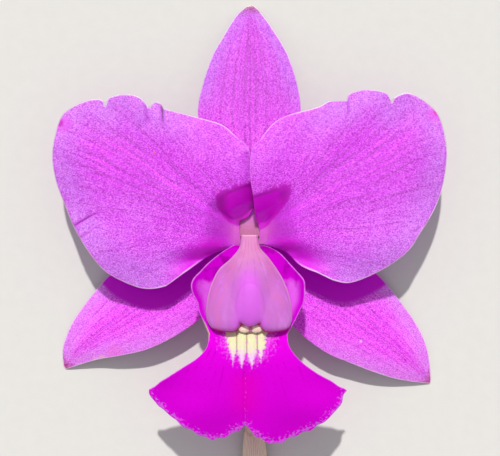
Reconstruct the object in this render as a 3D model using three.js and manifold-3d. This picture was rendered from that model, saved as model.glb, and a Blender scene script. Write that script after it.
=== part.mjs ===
// Cattleya orchid: one bloom, as picked, with its ovary and pedicel and a short cut length of
// flower stem. It lies face up on its ovary, stem and the tips of its three sepals.
// Millimetres. +Z is up, out of the flower's face, and +Y points to the dorsal sepal.
//
// The flower's own frame has its origin in the plane of the petals, at the column's foot. All
// outlines are in that frame. A floral segment is a blade: a patch between four margin curves,
// given its relief by a formula and thickened to both sides. On a patch, s runs from the foot
// to the far margin and t across from the left margin to the right one, both from 0 to 1.
import * as THREE from 'three';
import { mergeVertices } from 'three/addons/utils/BufferGeometryUtils.js';
import Module from 'manifold-3d';

const wasm = await Module();
wasm.setup();

// ---- driving dimensions ----

const FACE_HEIGHT = 16; // the petals' plane above the surface that the flower lies on
const FACE_Y = 11; // the column's foot from the middle of the part's length
const HUB_Y = -0.5; // the middle of the ovary's top, where all segments meet
const HUB_RADIUS = 4;
const FUNNEL_RADIUS = 14; // the petals sink to the hub inside this radius
const JOINT_GAP = 0.35; // between pieces that meet

// Height of each whorl's foot over the petals' plane, from the back to the front
const SEPAL_FOOT = -9.95;
const PETAL_FOOT = -8.75;
const LIP_FOOT = -8.2;
const COLUMN_FOOT = -8;
const OVARY_TOP = -10.75;

const MARGIN_THICKNESS = 0.6;
const BLADE_THICKNESS = 0.85;

const PETAL_STEPS = [10, 56];
const SEPAL_STEPS = [20, 8];
const LOBE_ROWS = 13;
const FRONT_LOBE_ROWS = 10;
const LIP_COLUMNS = 32;
const COLUMN_STEPS = [16, 24];
const BRACT_STEPS = [12, 12];

// ---- curves and patches ----

const smooth = (value, low, high) => THREE.MathUtils.smoothstep(value, low, high);
const bump = (distance, width) => Math.exp(-((distance / width) ** 2));
const mix = THREE.MathUtils.lerp;

// A smooth curve through points set by hand, read by its arc length
function margin(...points) {
  const curve = new THREE.SplineCurve(points.map(([x, y]) => new THREE.Vector2(x, y)));
  curve.arcLengthDivisions = 40 * points.length;
  return (k) => curve.getPointAt(THREE.MathUtils.clamp(k, 0, 1));
}

// The smooth patch between four curves: the foot and the far margin run from left to right,
// the two sides from the foot outwards. Notches in the far margin fade out towards the foot.
const NOTCH_SPAN = 0.045;
const NOTCH_FADE = 6;

function calm(curve, t) {
  const reach = Math.min(NOTCH_SPAN, t, 1 - t);
  const offsets = [-1, -0.67, -0.33, 0, 0.33, 0.67, 1];
  const sum = offsets.reduce((total, k) => total.add(curve(t + k * reach)), new THREE.Vector2());
  return sum.divideScalar(offsets.length);
}

function patch({ foot, left, right, far }) {
  const corners = [foot(0), foot(1), far(0), far(1)];
  return (s, t) => {
    const point = foot(t).multiplyScalar(1 - s);
    const notch = s ** NOTCH_FADE;
    point.addScaledVector(calm(far, t), s - notch);
    point.addScaledVector(far(t), notch);
    point.addScaledVector(left(s), 1 - t);
    point.addScaledVector(right(s), t);
    point.addScaledVector(corners[0], -(1 - s) * (1 - t));
    point.addScaledVector(corners[1], -(1 - s) * t);
    point.addScaledVector(corners[2], -s * (1 - t));
    point.addScaledVector(corners[3], -s * t);
    return point;
  };
}

// ---- closed solids ----

// The solid between a front and a back surface over the same patch. Both are split into
// triangles alike, and a strip along the margin closes it.
function slab(front, back, [sSteps, tSteps]) {
  const positions = [];
  const index = [];
  const columns = tSteps + 1;
  const layer = (sSteps + 1) * columns;
  for (const surface of [front, back]) {
    for (let i = 0; i <= sSteps; i++) {
      for (let j = 0; j <= tSteps; j++) {
        positions.push(...surface(i / sSteps, j / tSteps).toArray());
      }
    }
  }
  for (let i = 0; i < sSteps; i++) {
    for (let j = 0; j < tSteps; j++) {
      const a = i * columns + j;
      const b = a + 1;
      const c = a + columns;
      const d = c + 1;
      index.push(a, b, d, a, d, c);
      index.push(layer + a, layer + d, layer + b, layer + a, layer + c, layer + d);
    }
  }
  const rim = [];
  for (let j = 0; j < tSteps; j++) rim.push(j);
  for (let i = 0; i < sSteps; i++) rim.push(i * columns + tSteps);
  for (let j = tSteps; j > 0; j--) rim.push(sSteps * columns + j);
  for (let i = sSteps; i > 0; i--) rim.push(i * columns);
  rim.forEach((a, k) => {
    const b = rim[(k + 1) % rim.length];
    index.push(a, layer + b, b, a, layer + a, layer + b);
  });
  return facingOut(positions, index);
}

function facingOut(positions, index) {
  let volume = 0;
  const corner = (k) => new THREE.Vector3().fromArray(positions, 3 * index[k]);
  for (let k = 0; k < index.length; k += 3) {
    volume += corner(k).dot(corner(k + 1).cross(corner(k + 2)));
  }
  if (volume < 0) index.reverse();
  const geometry = new THREE.BufferGeometry();
  geometry.setAttribute('position', new THREE.Float32BufferAttribute(positions, 3));
  geometry.setIndex(index);
  return geometry;
}

// A thin sheet of the given thickness round a middle surface
function sheet(middle, thickness, steps) {
  const nudge = 1e-3;
  const side = (sign) => (s, t) => {
    const along = middle(Math.min(s + nudge, 1), t).sub(middle(Math.max(s - nudge, 0), t));
    const across = middle(s, Math.min(t + nudge, 1)).sub(middle(s, Math.max(t - nudge, 0)));
    const normal = along.cross(across).normalize();
    if (normal.z < 0) normal.negate();
    const point = middle(s, t).addScaledVector(normal, (sign * thickness(s, t)) / 2);
    point.z = Math.max(point.z, -FACE_HEIGHT);
    return point;
  };
  return slab(side(1), side(-1), steps);
}

// A blade: a flat outline, raised by height(x, y, s, t), thickest along its middle
function blade(outline, height, steps, middleThickness = BLADE_THICKNESS) {
  const flat = patch(outline);
  const middle = (s, t) => {
    const { x, y } = flat(s, t);
    return new THREE.Vector3(x, y, height(x, y, s, t));
  };
  const thickness = (s, t) => {
    const inside = 4 * t * (1 - t) * (1 - s ** 4);
    return mix(MARGIN_THICKNESS, middleThickness, Math.sqrt(Math.max(inside, 0)));
  };
  return sheet(middle, thickness, steps);
}

// A solid of closed rings, each ring a list of points, capped at both ends
function loft(rings) {
  const sides = rings[0].length;
  const positions = rings.flat().flatMap((point) => point.toArray());
  const index = [];
  for (let i = 0; i < rings.length - 1; i++) {
    for (let j = 0; j < sides; j++) {
      const a = i * sides + j;
      const b = i * sides + ((j + 1) % sides);
      index.push(a, b, b + sides, a, b + sides, a + sides);
    }
  }
  for (const [ring, flip] of [[0, true], [rings.length - 1, false]]) {
    const middle = rings[ring].reduce((sum, point) => sum.add(point), new THREE.Vector3());
    const centre = positions.length / 3;
    positions.push(...middle.divideScalar(sides).toArray());
    for (let j = 0; j < sides; j++) {
      const a = ring * sides + j;
      const b = ring * sides + ((j + 1) % sides);
      index.push(centre, flip ? b : a, flip ? a : b);
    }
  }
  return facingOut(positions, index);
}

function solidOf(geometry) {
  const bare = geometry.index ? geometry.toNonIndexed() : geometry.clone();
  bare.deleteAttribute('normal');
  bare.deleteAttribute('uv');
  const merged = mergeVertices(bare, 1e-4);
  return new wasm.Manifold(new wasm.Mesh({
    numProp: 3,
    vertProperties: merged.attributes.position.array,
    triVerts: new Uint32Array(merged.index.array),
  }));
}

function geometryOf(solid) {
  const { vertProperties, triVerts } = solid.getMesh();
  const geometry = new THREE.BufferGeometry();
  geometry.setAttribute('position', new THREE.Float32BufferAttribute(vertProperties, 3));
  geometry.setIndex(Array.from(triVerts));
  return geometry;
}

const BALL_SIDES = 12;
const BALL_RINGS = 0.6; // rings of an ellipsoid for each of its sides

function ellipsoid([x, y, z], [width, length, height], sides = BALL_SIDES) {
  const geometry = new THREE.SphereGeometry(1, sides, Math.round(sides * BALL_RINGS));
  return geometry.scale(width, length, height).translate(x, y, z);
}

// ---- heights over the petals' plane ----

const fromHub = (x, y) => Math.hypot(x, y - HUB_Y);

// A petal sinks to the hub in a round funnel below the column's foot and in a narrow, steep
// pocket above it. Its inner upper margin stands forward, its lower inner margin rolls back, and
// its outer margin is lightly waved and recurved.
const POCKET_WALL = [7.5, 13]; // the values of y between which the pocket's upper wall stands
const POCKET_SLANT = 0.33; // how far the wall climbs to the right
const CREST = { height: 2.2, y: 19, halfWidth: 11, halfLength: 9 };
const LOWER_ROLL = { depth: 3.4, across: [0.82, 1], start: [0.08, 0.35], end: [0.45, 0.75] };
const PETAL_RECURVE = 2.4;
const LOWER_RECURVE = 0.8;
const LOWER_SIDE = [0.6, 0.9];
const PETAL_WAVE = 0.75;
const MIDVEIN = { depth: 0.25, halfWidth: 0.035, start: [0.1, 0.4] };

// The left petal's inner margin is tucked under the right one's between these values of x and y
const TUCK = { depth: 1.6, across: [-3, 0.3], foot: [9, 12.3], top: [20, 23.5] };

// pocketX is where the pocket's wall stands at its mean place
function petalSink(x, y, pocketX) {
  if (y < HUB_Y) return PETAL_FOOT * (1 - smooth(fromHub(x, y), HUB_RADIUS, FUNNEL_RADIUS));
  const across = 1 - smooth(Math.abs(x), HUB_RADIUS, FUNNEL_RADIUS);
  return PETAL_FOOT * across * (1 - smooth(y - POCKET_SLANT * (x - pocketX), ...POCKET_WALL));
}

function tuck(x, y) {
  return TUCK.depth * smooth(x, ...TUCK.across) * smooth(y, ...TUCK.foot) * (1 - smooth(y, ...TUCK.top));
}

// lowerMargin is the value of t at the petal's lower margin
function petalHeight({ lowerMargin, pocketX, midvein, waves, phase, under = () => 0 }) {
  return (x, y, s, t) => {
    const low = 1 - Math.abs(t - lowerMargin);
    const crest = CREST.height * bump(x, CREST.halfWidth) * bump(y - CREST.y, CREST.halfLength);
    const rollSpan = smooth(s, ...LOWER_ROLL.start) * (1 - smooth(s, ...LOWER_ROLL.end));
    const roll = LOWER_ROLL.depth * smooth(low, ...LOWER_ROLL.across) * rollSpan;
    const recurve = mix(PETAL_RECURVE, LOWER_RECURVE, smooth(low, ...LOWER_SIDE)) * s ** 4;
    const wave = PETAL_WAVE * s ** 3 * Math.sin(2 * Math.PI * waves * t + phase);
    const grooveSpan = smooth(s, ...MIDVEIN.start) * (1 - s ** 2);
    const groove = MIDVEIN.depth * bump(t - midvein, MIDVEIN.halfWidth) * grooveSpan;
    return petalSink(x, y, pocketX) + crest - roll - recurve + wave - groove - under(x, y);
  };
}

// A sepal rises a little from the hub and then recurves, down to the surface at its tip. The
// lateral sepals are turned a little about their own length, with the lower margin forward.
const DORSAL_RISE = { height: 4.6, span: [7.5, 24], turn: 0 };
const LATERAL_RISE = { height: 0.6, span: [4, 18], turn: 0.16 };
const TURN_START = [8, 26];
const TURN_END = 0.75; // as a share of the sepal's length
const RECURVE_START = 30;
const RECURVE_POWER = 2.1;
const TIP_HEIGHT = -FACE_HEIGHT + 0.2;
const SEPAL_CROWN = 1;

function sepalHeight(rise, tip) {
  const reach = fromHub(...tip);
  const drop = SEPAL_FOOT + rise.height - TIP_HEIGHT;
  return (x, y, s, t) => {
    const along = fromHub(x, y);
    const up = rise.height * smooth(along, ...rise.span);
    const past = Math.max((along - RECURVE_START) / (reach - RECURVE_START), 0);
    const crown = SEPAL_CROWN * (2 * t - 1) ** 2 * Math.sin(Math.PI * s);
    const axis = HUB_Y + ((tip[1] - HUB_Y) * x) / tip[0];
    const turned = smooth(along, ...TURN_START) * (1 - smooth(along, TURN_END * reach, reach));
    return SEPAL_FOOT + up - drop * past ** RECURVE_POWER - crown + rise.turn * (axis - y) * turned;
  };
}

// The lip's middle line climbs from the hub to the isthmus and falls to the notch. Its side
// lobes stand up beside the column, and the front lobe slopes back to its corners.
const lipLine = margin([-3.2, LIP_FOOT], [-8, -5.6], [-16, -0.6], [-22, 3.6], [-25.5, 5.9],
  [-30, 7.5], [-36, 7.4], [-44, 5.8], [-50, 3.6], [-56, 1]);
const LIP_LINE_STEPS = 200;
const lipLineTable = Array.from({ length: LIP_LINE_STEPS + 1 }, (_, k) => lipLine(k / LIP_LINE_STEPS));
const SIDE_LOBE = { rise: 16, reach: 15.3, fade: [-4, 28] }; // fades between these values of -y
const CORNER = { drop: 5.4, reach: 26.8, start: [22, 42] };

function lipMiddle(y) {
  const after = lipLineTable.findIndex((point) => point.x <= y);
  if (after <= 0) return after === 0 ? lipLineTable[0].y : lipLineTable[LIP_LINE_STEPS].y;
  const [from, to] = [lipLineTable[after - 1], lipLineTable[after]];
  return mix(from.y, to.y, (y - from.x) / (to.x - from.x));
}

function lipHeight(x, y) {
  const rise = SIDE_LOBE.rise * (1 - smooth(-y, ...SIDE_LOBE.fade)) * (x / SIDE_LOBE.reach) ** 2;
  const drop = CORNER.drop * smooth(-y, ...CORNER.start) * (x / CORNER.reach) ** 2;
  return lipMiddle(y) + rise - drop;
}

// Low forms on the lip: ridges down the disc, a furrow down the front lobe, a ruffled margin
const DISC = { x: -0.63, halfWidth: 4.6, start: [16, 22], end: [32, 39] };
const RIDGE_PITCH = 2.6;
const RIDGE_HEIGHT = 0.4;
const FURROW = { x: -1.1, halfWidth: 0.8, depth: 0.5, start: [32, 38] };
const RUFFLE = { height: 0.55, turns: 11, phase: 1, band: [0.6, 1], start: [28, 36] };
const RUFFLE_SPAN = [26.8, 29]; // half the front lobe's width, and its length
const WAIST_Y = -25.5;
const RUFFLE_CENTRE_Y = -22;

function lipRelief(x, y) {
  const ridges = 0.5 - 0.5 * Math.cos((2 * Math.PI * (x - DISC.x)) / RIDGE_PITCH);
  const disc = bump(x - DISC.x, DISC.halfWidth) * smooth(-y, ...DISC.start)
    * (1 - smooth(-y, ...DISC.end));
  const furrow = FURROW.depth * bump(x - FURROW.x, FURROW.halfWidth) * smooth(-y, ...FURROW.start);
  const out = Math.hypot(x / RUFFLE_SPAN[0], (y - WAIST_Y) / RUFFLE_SPAN[1]);
  const turn = Math.atan2(x, RUFFLE_CENTRE_Y - y);
  const ruffle = RUFFLE.height * Math.sin(RUFFLE.turns * turn + RUFFLE.phase)
    * smooth(out, ...RUFFLE.band) * smooth(-y, ...RUFFLE.start);
  return RIDGE_HEIGHT * ridges * disc - furrow + ruffle;
}

// ---- outlines, in the flower's frame ----

const DORSAL_TIP = [0.4, 64.4];
const DORSAL_SEPAL = {
  foot: margin([-3, -0.2], [3, -0.2]),
  left: margin([-3, -0.2], [-5.9, 12.5], [-10.1, 23.2], [-13.7, 31.3], [-13.9, 35.6], [-13.1, 40],
    [-10.5, 48.6], [-7.3, 54.8], [-3.8, 60.9], [-0.9, 63.9]),
  right: margin([3, -0.2], [6.7, 12.5], [10.9, 23.2], [13.6, 30.8], [13.9, 34.8], [13.5, 38.9],
    [12.3, 44.2], [10, 50.7], [6.5, 56.9], [3.5, 61.5], [1.6, 63.9]),
  far: margin([-0.9, 63.9], DORSAL_TIP, [1.6, 63.9]),
};

const PETAL_LEFT = {
  foot: margin([-2.7, 3.9], [-2.7, 0.6], [-2, -2.6]),
  left: margin([-2.7, 3.9], [-1.3, 4.5], [-0.4, 5.1], [0.4, 6.1], [1, 7.3], [1.45, 8.6], [1.5, 11],
    [1.1, 14], [0.8, 18], [0.1, 22], [-1.2, 24.4], [-3.1, 26]),
  right: margin([-2, -2.6], [-4.2, -2.6], [-7.4, -3.8], [-11.8, -5.9], [-16.6, -9.3],
    [-21.9, -13.3]),
  far: margin([-3.1, 26], [-6.8, 29.3], [-11.3, 31], [-19.8, 33.3], [-22.5, 33.9], [-23.8, 35.4],
    [-24.9, 35.9], [-26.1, 35.4], [-26.7, 34.3], [-27.8, 35.4], [-29.7, 37.2], [-33.4, 37.9],
    [-37.1, 37.4], [-38.2, 36.3], [-38.8, 34.9], [-39.6, 36.1], [-43.5, 36.4], [-47.2, 34.8], [-50.7, 31.5],
    [-52.8, 22.3], [-52, 14.9], [-50.1, 9.6], [-47.2, 2.7], [-43.8, -2.9], [-39.8, -8.2],
    [-35.8, -11.2], [-29.9, -13.7], [-25.9, -14.1], [-21.9, -13.3]),
};

const PETAL_RIGHT = {
  foot: margin([2, -2.6], [2.8, 0.4], [2.5, 2.8]),
  left: margin([2, -2.6], [3.8, -2.4], [6.1, -2.9], [9.8, -4.3], [13.4, -7.7], [18, -9.8],
    [21.9, -11.7]),
  right: margin([2.5, 2.8], [1.8, 5], [1.3, 7.8], [0.9, 11], [0.3, 14.4], [0.1, 18.5], [0.5, 22.4],
    [1.3, 24.2], [2.8, 25.5]),
  far: margin([21.9, -11.7], [26.7, -12.5], [33.4, -10.1], [39.2, -6.6], [43, -3.2], [45.4, 0.5],
    [48, 4.3], [50.7, 9.6], [52.3, 16], [52.8, 22.9], [51.7, 29.8], [49.9, 33.7], [46.4, 36.7],
    [42.7, 38.3], [39.5, 37.8], [38.3, 35.9], [37.2, 38], [36.2, 38.7], [33.6, 39], [29.9, 39.1],
    [26.7, 38], [25.7, 36.3], [21.7, 36.2], [18, 34.4], [10.2, 32.2], [6.2, 29.8], [2.8, 25.5]),
};

const LATERAL_LEFT_TIP = [-51.3, -37.2];
const LATERAL_SEPAL_LEFT = {
  foot: margin([-3.2, -1.4], [-0.7, -4.4]),
  left: margin([-3.2, -1.4], [-13.5, -4.4], [-24.4, -7.1], [-33.1, -8.8], [-38.5, -10.9],
    [-41.6, -14], [-45.5, -18.7], [-49.1, -23.8], [-51.3, -28.7], [-52.2, -32.4], [-52, -36.3]),
  right: margin([-0.7, -4.4], [-3.1, -12.1], [-8.6, -18.5], [-13.2, -22.4], [-17.3, -25.5],
    [-22.5, -28.6], [-28.6, -31.3], [-35.6, -33], [-41.3, -34.1], [-46, -35.5], [-50.3, -37]),
  far: margin([-52, -36.3], LATERAL_LEFT_TIP, [-50.3, -37]),
};

const LATERAL_RIGHT_TIP = [50.4, -41.2];
const LATERAL_SEPAL_RIGHT = {
  foot: margin([0.7, -4.4], [3.2, -1.4]),
  left: margin([0.7, -4.4], [3.4, -13.2], [7.7, -19.9], [12.1, -24.8], [16.5, -28.9],
    [22, -32.5], [27.5, -34.8], [33.1, -37.1], [39.4, -39.3], [44.6, -40.5], [49.4, -41.2]),
  right: margin([3.2, -1.4], [13.2, -4.4], [24.1, -6], [31.1, -7.9], [35.5, -10.9], [38.6, -14.2],
    [42.3, -18.9], [45.9, -23.8], [48.4, -28.4], [49.9, -33.6], [50.7, -40]),
  far: margin([49.4, -41.2], LATERAL_RIGHT_TIP, [50.7, -40]),
};

const ISTHMUS_LEFT = [-10.7, WAIST_Y];
const ISTHMUS_RIGHT = [9.9, WAIST_Y];
const SIDE_LOBES = {
  foot: margin([-1.8, -3.2], [1.8, -3.2]),
  left: margin([-1.8, -3.2], [-3.7, -2.4], [-5.8, -3.3], [-8.3, -5], [-11, -7.2], [-13, -9.3],
    [-14.6, -11], [-15.3, -12.9], [-14.9, -15.1], [-13.7, -17.5], [-13.2, -19.9], [-12.1, -22.4],
    ISTHMUS_LEFT),
  right: margin([1.8, -3.2], [3.7, -2.6], [5.8, -3.2], [8.4, -4.8], [10.7, -7.3], [12.5, -9.3],
    [14.3, -11.5], [14.6, -13.8], [14.3, -17.2], [13.1, -19.9], [11.8, -22.4], ISTHMUS_RIGHT),
  far: margin(ISTHMUS_LEFT, ISTHMUS_RIGHT),
};

const CORNER_LEFT = [-26.8, -40.8];
const CORNER_RIGHT = [25.8, -41.1];
const FRONT_LOBE = {
  foot: SIDE_LOBES.far,
  left: margin(ISTHMUS_LEFT, [-11.1, -28.7], [-13.4, -31.5], [-17.4, -34.2], [-22.3, -37.5],
    CORNER_LEFT),
  right: margin(ISTHMUS_RIGHT, [10.4, -28.7], [13.2, -32.3], [17.4, -35.6], [21.7, -38.2],
    CORNER_RIGHT),
  far: margin(CORNER_LEFT, [-25.6, -43.5], [-21.6, -47.1], [-16.8, -50.7], [-12.6, -53],
    [-9.1, -53.9], [-5.7, -52.9], [-2.8, -51], [-1.1, -50], [0.4, -51.5], [3.3, -53.8], [7, -55],
    [11.2, -53.4], [14.9, -51.8], [19.2, -49.5], [23.2, -45.9], [24.8, -42.9], CORNER_RIGHT),
};

const COLUMN = {
  foot: margin([-2.3, 0.25], [2.3, 0.25]),
  left: margin([-2.3, 0.25], [-2.7, -3], [-4.9, -5.9], [-8.1, -8.8], [-9.9, -12.2], [-11, -15.8],
    [-11.5, -19.7]),
  right: margin([2.3, 0.25], [2.8, -3], [5.3, -6], [8.2, -10.2], [9.9, -13.8], [10.8, -17.2],
    [11.2, -20.3]),
  far: margin([-11.5, -19.7], [-10.9, -22.3], [-9.3, -24.2], [-6.3, -24.9], [-4, -24.9],
    [-2.9, -24.1], [-2.2, -23], [-1.2, -22.3], [0.1, -22.1], [1.4, -22.3], [2.4, -23], [3.1, -24.1],
    [4.2, -24.9], [6.3, -25], [9.6, -24.4], [10.9, -22.6], [11.2, -20.3]),
};

// ---- floral segments ----

// The lip is one blade of two patches that share the isthmus line
function lipGeometry() {
  const rows = LOBE_ROWS + FRONT_LOBE_ROWS;
  const split = LOBE_ROWS / rows;
  const lobes = patch(SIDE_LOBES);
  const front = patch(FRONT_LOBE);
  const middle = (s, t) => {
    const { x, y } = s <= split ? lobes(s / split, t) : front((s - split) / (1 - split), t);
    return new THREE.Vector3(x, y, lipHeight(x, y) + lipRelief(x, y));
  };
  return sheet(middle, () => BLADE_THICKNESS, [rows, LIP_COLUMNS]);
}

// The column is a thick hood. Its back follows the lip's channel at a small clearance and is
// hollowed towards its tip, and its front is a dome with a raised middle between two lobes.
const COLUMN_CLEARANCE = 0.95;
const COLUMN_RIM = 1;
const NECK = { rise: 1.3, start: [-0.2, 2.8], end: [3, 6] }; // between values of -y
const COLUMN_HOLLOW = { depth: 2, start: [0.3, 0.7], end: [0.85, 1] };
const COLUMN_RIDGE = { height: 0.9, halfWidth: 0.32, start: [0.35, 0.7], fade: 8 };
const DOME_POWER = 2.4; // how full the dome is towards its sides

// The column's nose: a broad blunt tongue between the hood's lobes, over the anther cap. It
// melts into the hood over NOSE_BLEND, and falls off by NOSE_FLANK outside its own outline.
const NOSE_CENTRE = [0.13, -17.6, 8.5];
const NOSE_SIZE = [3.7, 5.8, 1.9];
const NOSE_SIDES = 24;
const NOSE_BLEND = 1.8;
const NOSE_CLEAR = 0.1; // the share of the hood's length, at its tip, where the two part
const NOSE_FLANK = 5;

function noseTop(x, y) {
  const out = Math.hypot((x - NOSE_CENTRE[0]) / NOSE_SIZE[0], (y - NOSE_CENTRE[1]) / NOSE_SIZE[1]);
  const dome = NOSE_SIZE[2] * Math.sqrt(Math.max(1 - out ** 2, 0));
  return NOSE_CENTRE[2] + dome - NOSE_FLANK * Math.max(out - 1, 0);
}

// The higher of two surfaces, with a soft hollow between them
function blend(first, second, width) {
  const near = Math.max(width - Math.abs(first - second), 0);
  return Math.max(first, second) + (width > 0 ? near ** 2 / (4 * width) : 0);
}

const columnDepth = margin([0, 2.4], [0.25, 5.2], [0.5, 7.6], [0.7, 7.9], [0.85, 6.2], [0.95, 4.2],
  [1, 1.7]);

function columnBack(x, y, s, t) {
  const foot = COLUMN_FOOT + NECK.rise * smooth(-y, ...NECK.start);
  const overLip = lipHeight(x, y) + COLUMN_CLEARANCE;
  const inside = smooth(s, ...COLUMN_HOLLOW.start) * (1 - smooth(s, ...COLUMN_HOLLOW.end));
  const hollow = COLUMN_HOLLOW.depth * inside * 4 * t * (1 - t);
  return mix(foot, overLip, smooth(-y, ...NECK.end)) + hollow;
}

function columnGeometry() {
  const flat = patch(COLUMN);
  const depths = Array.from({ length: 101 }, (_, k) => columnDepth(k / 100));
  const depthAt = (s) => {
    const after = Math.max(depths.findIndex((point) => point.x >= s), 1);
    const [from, to] = [depths[after - 1], depths[after]];
    return mix(from.y, to.y, (s - from.x) / (to.x - from.x));
  };
  const back = (s, t) => {
    const { x, y } = flat(s, t);
    return new THREE.Vector3(x, y, columnBack(x, y, s, t));
  };
  const front = (s, t) => {
    const { x, y } = flat(s, t);
    const side = Math.abs(2 * t - 1);
    const dome = (depthAt(s) - COLUMN_RIM) * (1 - side ** DOME_POWER);
    const { height, halfWidth, start, fade } = COLUMN_RIDGE;
    const ridge = height * bump(side, halfWidth) * smooth(s, ...start) * (1 - s ** fade);
    const hood = columnBack(x, y, s, 0) + COLUMN_RIM + dome + ridge;
    return new THREE.Vector3(x, y, blend(hood, noseTop(x, y), NOSE_BLEND * smooth(1 - s, 0, NOSE_CLEAR)));
  };
  return slab(front, back, COLUMN_STEPS);
}

// The column's foot reaches down between the segments' feet to the top of the ovary
const FOOT_RADIUS = 1.2;
const FOOT_SIDES = 12;
const FOOT_Y = -1.75;
const FOOT_OVERLAP = 2;

function columnFoot() {
  const bottom = OVARY_TOP + JOINT_GAP;
  const height = COLUMN_FOOT + FOOT_OVERLAP - bottom;
  const post = new THREE.CylinderGeometry(FOOT_RADIUS, FOOT_RADIUS, height, FOOT_SIDES);
  return solidOf(post.rotateX(Math.PI / 2).translate(0, FOOT_Y, bottom + height / 2));
}

// The anther cap: two small flaps side by side under the nose, joined by a short beak
const CAP_CENTRE = [0.25, -23.3, 7.9];
const CAP_SIZE = [1.15, 1.35, 0.95];
const CAP_SPREAD = 1.75;
const BEAK_SIZE = [1, 1.1, 0.75];

function capSolid(grow = 0) {
  const [x, y, z] = CAP_CENTRE;
  const part = (aside, size) => (
    solidOf(ellipsoid([x + aside, y, z], size.map((radius) => radius + grow)))
  );
  return part(-CAP_SPREAD, CAP_SIZE).add(part(0, BEAK_SIZE)).add(part(CAP_SPREAD, CAP_SIZE));
}

// Four waxy pollen masses side by side, joined at their stalks
const POLLINIA_CENTRE = [-0.1, -19.4, 5.4];
const POLLEN_SIZE = [0.5, 1, 0.6];
const POLLEN_PITCH = 0.8;
const POLLEN_SIDES = 10;

function polliniaSolid(grow = 0) {
  const [x, y, z] = POLLINIA_CENTRE;
  const size = POLLEN_SIZE.map((radius) => radius + grow);
  const masses = [-1.5, -0.5, 0.5, 1.5].map((place) => (
    solidOf(ellipsoid([x + place * POLLEN_PITCH, y, z], size, POLLEN_SIDES))
  ));
  return masses.reduce((whole, mass) => whole.add(mass));
}

// ---- stalk ----

// Top and underside of the stalk as seen from the side, over the surface that it lies on.
// The ovary turns from the hub to lie along the surface, and narrows to the pedicel.
const OVARY_SIDES = 16;
const OVARY_RINGS = 26;
const OVARY_RIB = { count: 6, height: 0.05, end: [0.4, 0.7] };
const OVARY_NECK = [0, 0.1]; // where the round top turns into the ribbed body
const HUB_TOP = FACE_HEIGHT + OVARY_TOP;
const JOINT_Y = -60.5; // where the pedicel meets the cut stem
const ovaryTop = margin([HUB_Y - HUB_RADIUS, HUB_TOP], [-5.4, 4.85], [-7, 4.6], [-12, 4.8],
  [-20, 4.7], [-30, 4], [-42, 3.5], [JOINT_Y, 3.6]);
const ovaryUnder = margin([HUB_Y + HUB_RADIUS, HUB_TOP], [2.4, 2.7], [-0.4, 0.7], [-4, -0.1],
  [-12, -0.15], [-20, -0.15], [-30, -0.15], [-42, -0.15], [JOINT_Y, -0.15]);

// The stalk strays to the right in two easy bends, each between two values of -y
const PEDICEL_BEND = { aside: 1.3, span: [12, 58] };
const STEM_BEND = { aside: 2.4, span: [56, 90] };

function stalkX(y) {
  return [PEDICEL_BEND, STEM_BEND].reduce((x, { aside, span }) => x + aside * smooth(-y, ...span), 0);
}

function ovaryGeometry() {
  const rings = [];
  for (let i = 0; i <= OVARY_RINGS; i++) {
    const k = i / OVARY_RINGS;
    const top = ovaryTop(k);
    const under = ovaryUnder(k);
    const middle = top.clone().add(under).multiplyScalar(0.5);
    const half = top.clone().sub(under).multiplyScalar(0.5);
    const body = smooth(k, ...OVARY_NECK);
    const width = mix(HUB_RADIUS, half.length(), body);
    const ribbed = OVARY_RIB.height * body * (1 - smooth(k, ...OVARY_RIB.end));
    const ring = [];
    for (let j = 0; j < OVARY_SIDES; j++) {
      const angle = (2 * Math.PI * (j + 0.5)) / OVARY_SIDES;
      const rib = 1 + ribbed * Math.cos(OVARY_RIB.count * angle);
      const y = middle.x + half.x * Math.cos(angle) * rib;
      const z = middle.y + half.y * Math.cos(angle) * rib;
      ring.push(new THREE.Vector3(stalkX(y) + width * Math.sin(angle) * rib, y, Math.max(z, 0)));
    }
    rings.push(ring);
  }
  return loft(rings);
}

// The cut stem lies in line with the pedicel, swollen at the joint that bears the bract
const STEM_START = JOINT_Y - JOINT_GAP;
const STEM_END = -86.4;
const STEM_RADIUS = 2.3;
const STEM_MIDDLE = STEM_RADIUS - 0.15;
const STEM_SWELL = { height: 0.5, halfLength: 2.2 };
const STEM_SIDES = 14;
const STEM_RINGS = 12;
const CUT_SLANT = 0.7;

const stemRadius = (y) => (
  STEM_RADIUS + STEM_SWELL.height * bump(y - STEM_START + STEM_SWELL.halfLength, STEM_SWELL.halfLength)
);

function stemGeometry() {
  const rings = [];
  for (let i = 0; i <= STEM_RINGS; i++) {
    const k = i / STEM_RINGS;
    const y = mix(STEM_START, STEM_END, k);
    const radius = stemRadius(y);
    const ring = [];
    for (let j = 0; j < STEM_SIDES; j++) {
      const angle = (2 * Math.PI * (j + 0.5)) / STEM_SIDES;
      const slant = CUT_SLANT * (1 + Math.cos(angle)) * (k === 1 ? 1 : 0);
      const z = STEM_MIDDLE + radius * Math.cos(angle);
      ring.push(new THREE.Vector3(stalkX(y) + radius * Math.sin(angle), y + slant, Math.max(z, 0)));
    }
    rings.push(ring);
  }
  return loft(rings);
}

// The bract is a papery sheath round the joint, open below. It narrows to a long point that lies
// along the pedicel towards the flower.
const BRACT_FOOT = -64;
const BRACT_TIP = -44;
const BRACT_WRAP = THREE.MathUtils.degToRad(100); // to each side, at its foot
const BRACT_POINT = { keep: 0.03, start: 1.6, end: 0.8 }; // what is left of the wrap at its tip
const BRACT_THICKNESS = 0.6;
const BRACT_SLIM = [0.15, 0.6]; // the share of its length over which it closes on the pedicel
const PEDICEL_RADIUS = 1.87;
const PEDICEL_MIDDLE = 1.75;

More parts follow.
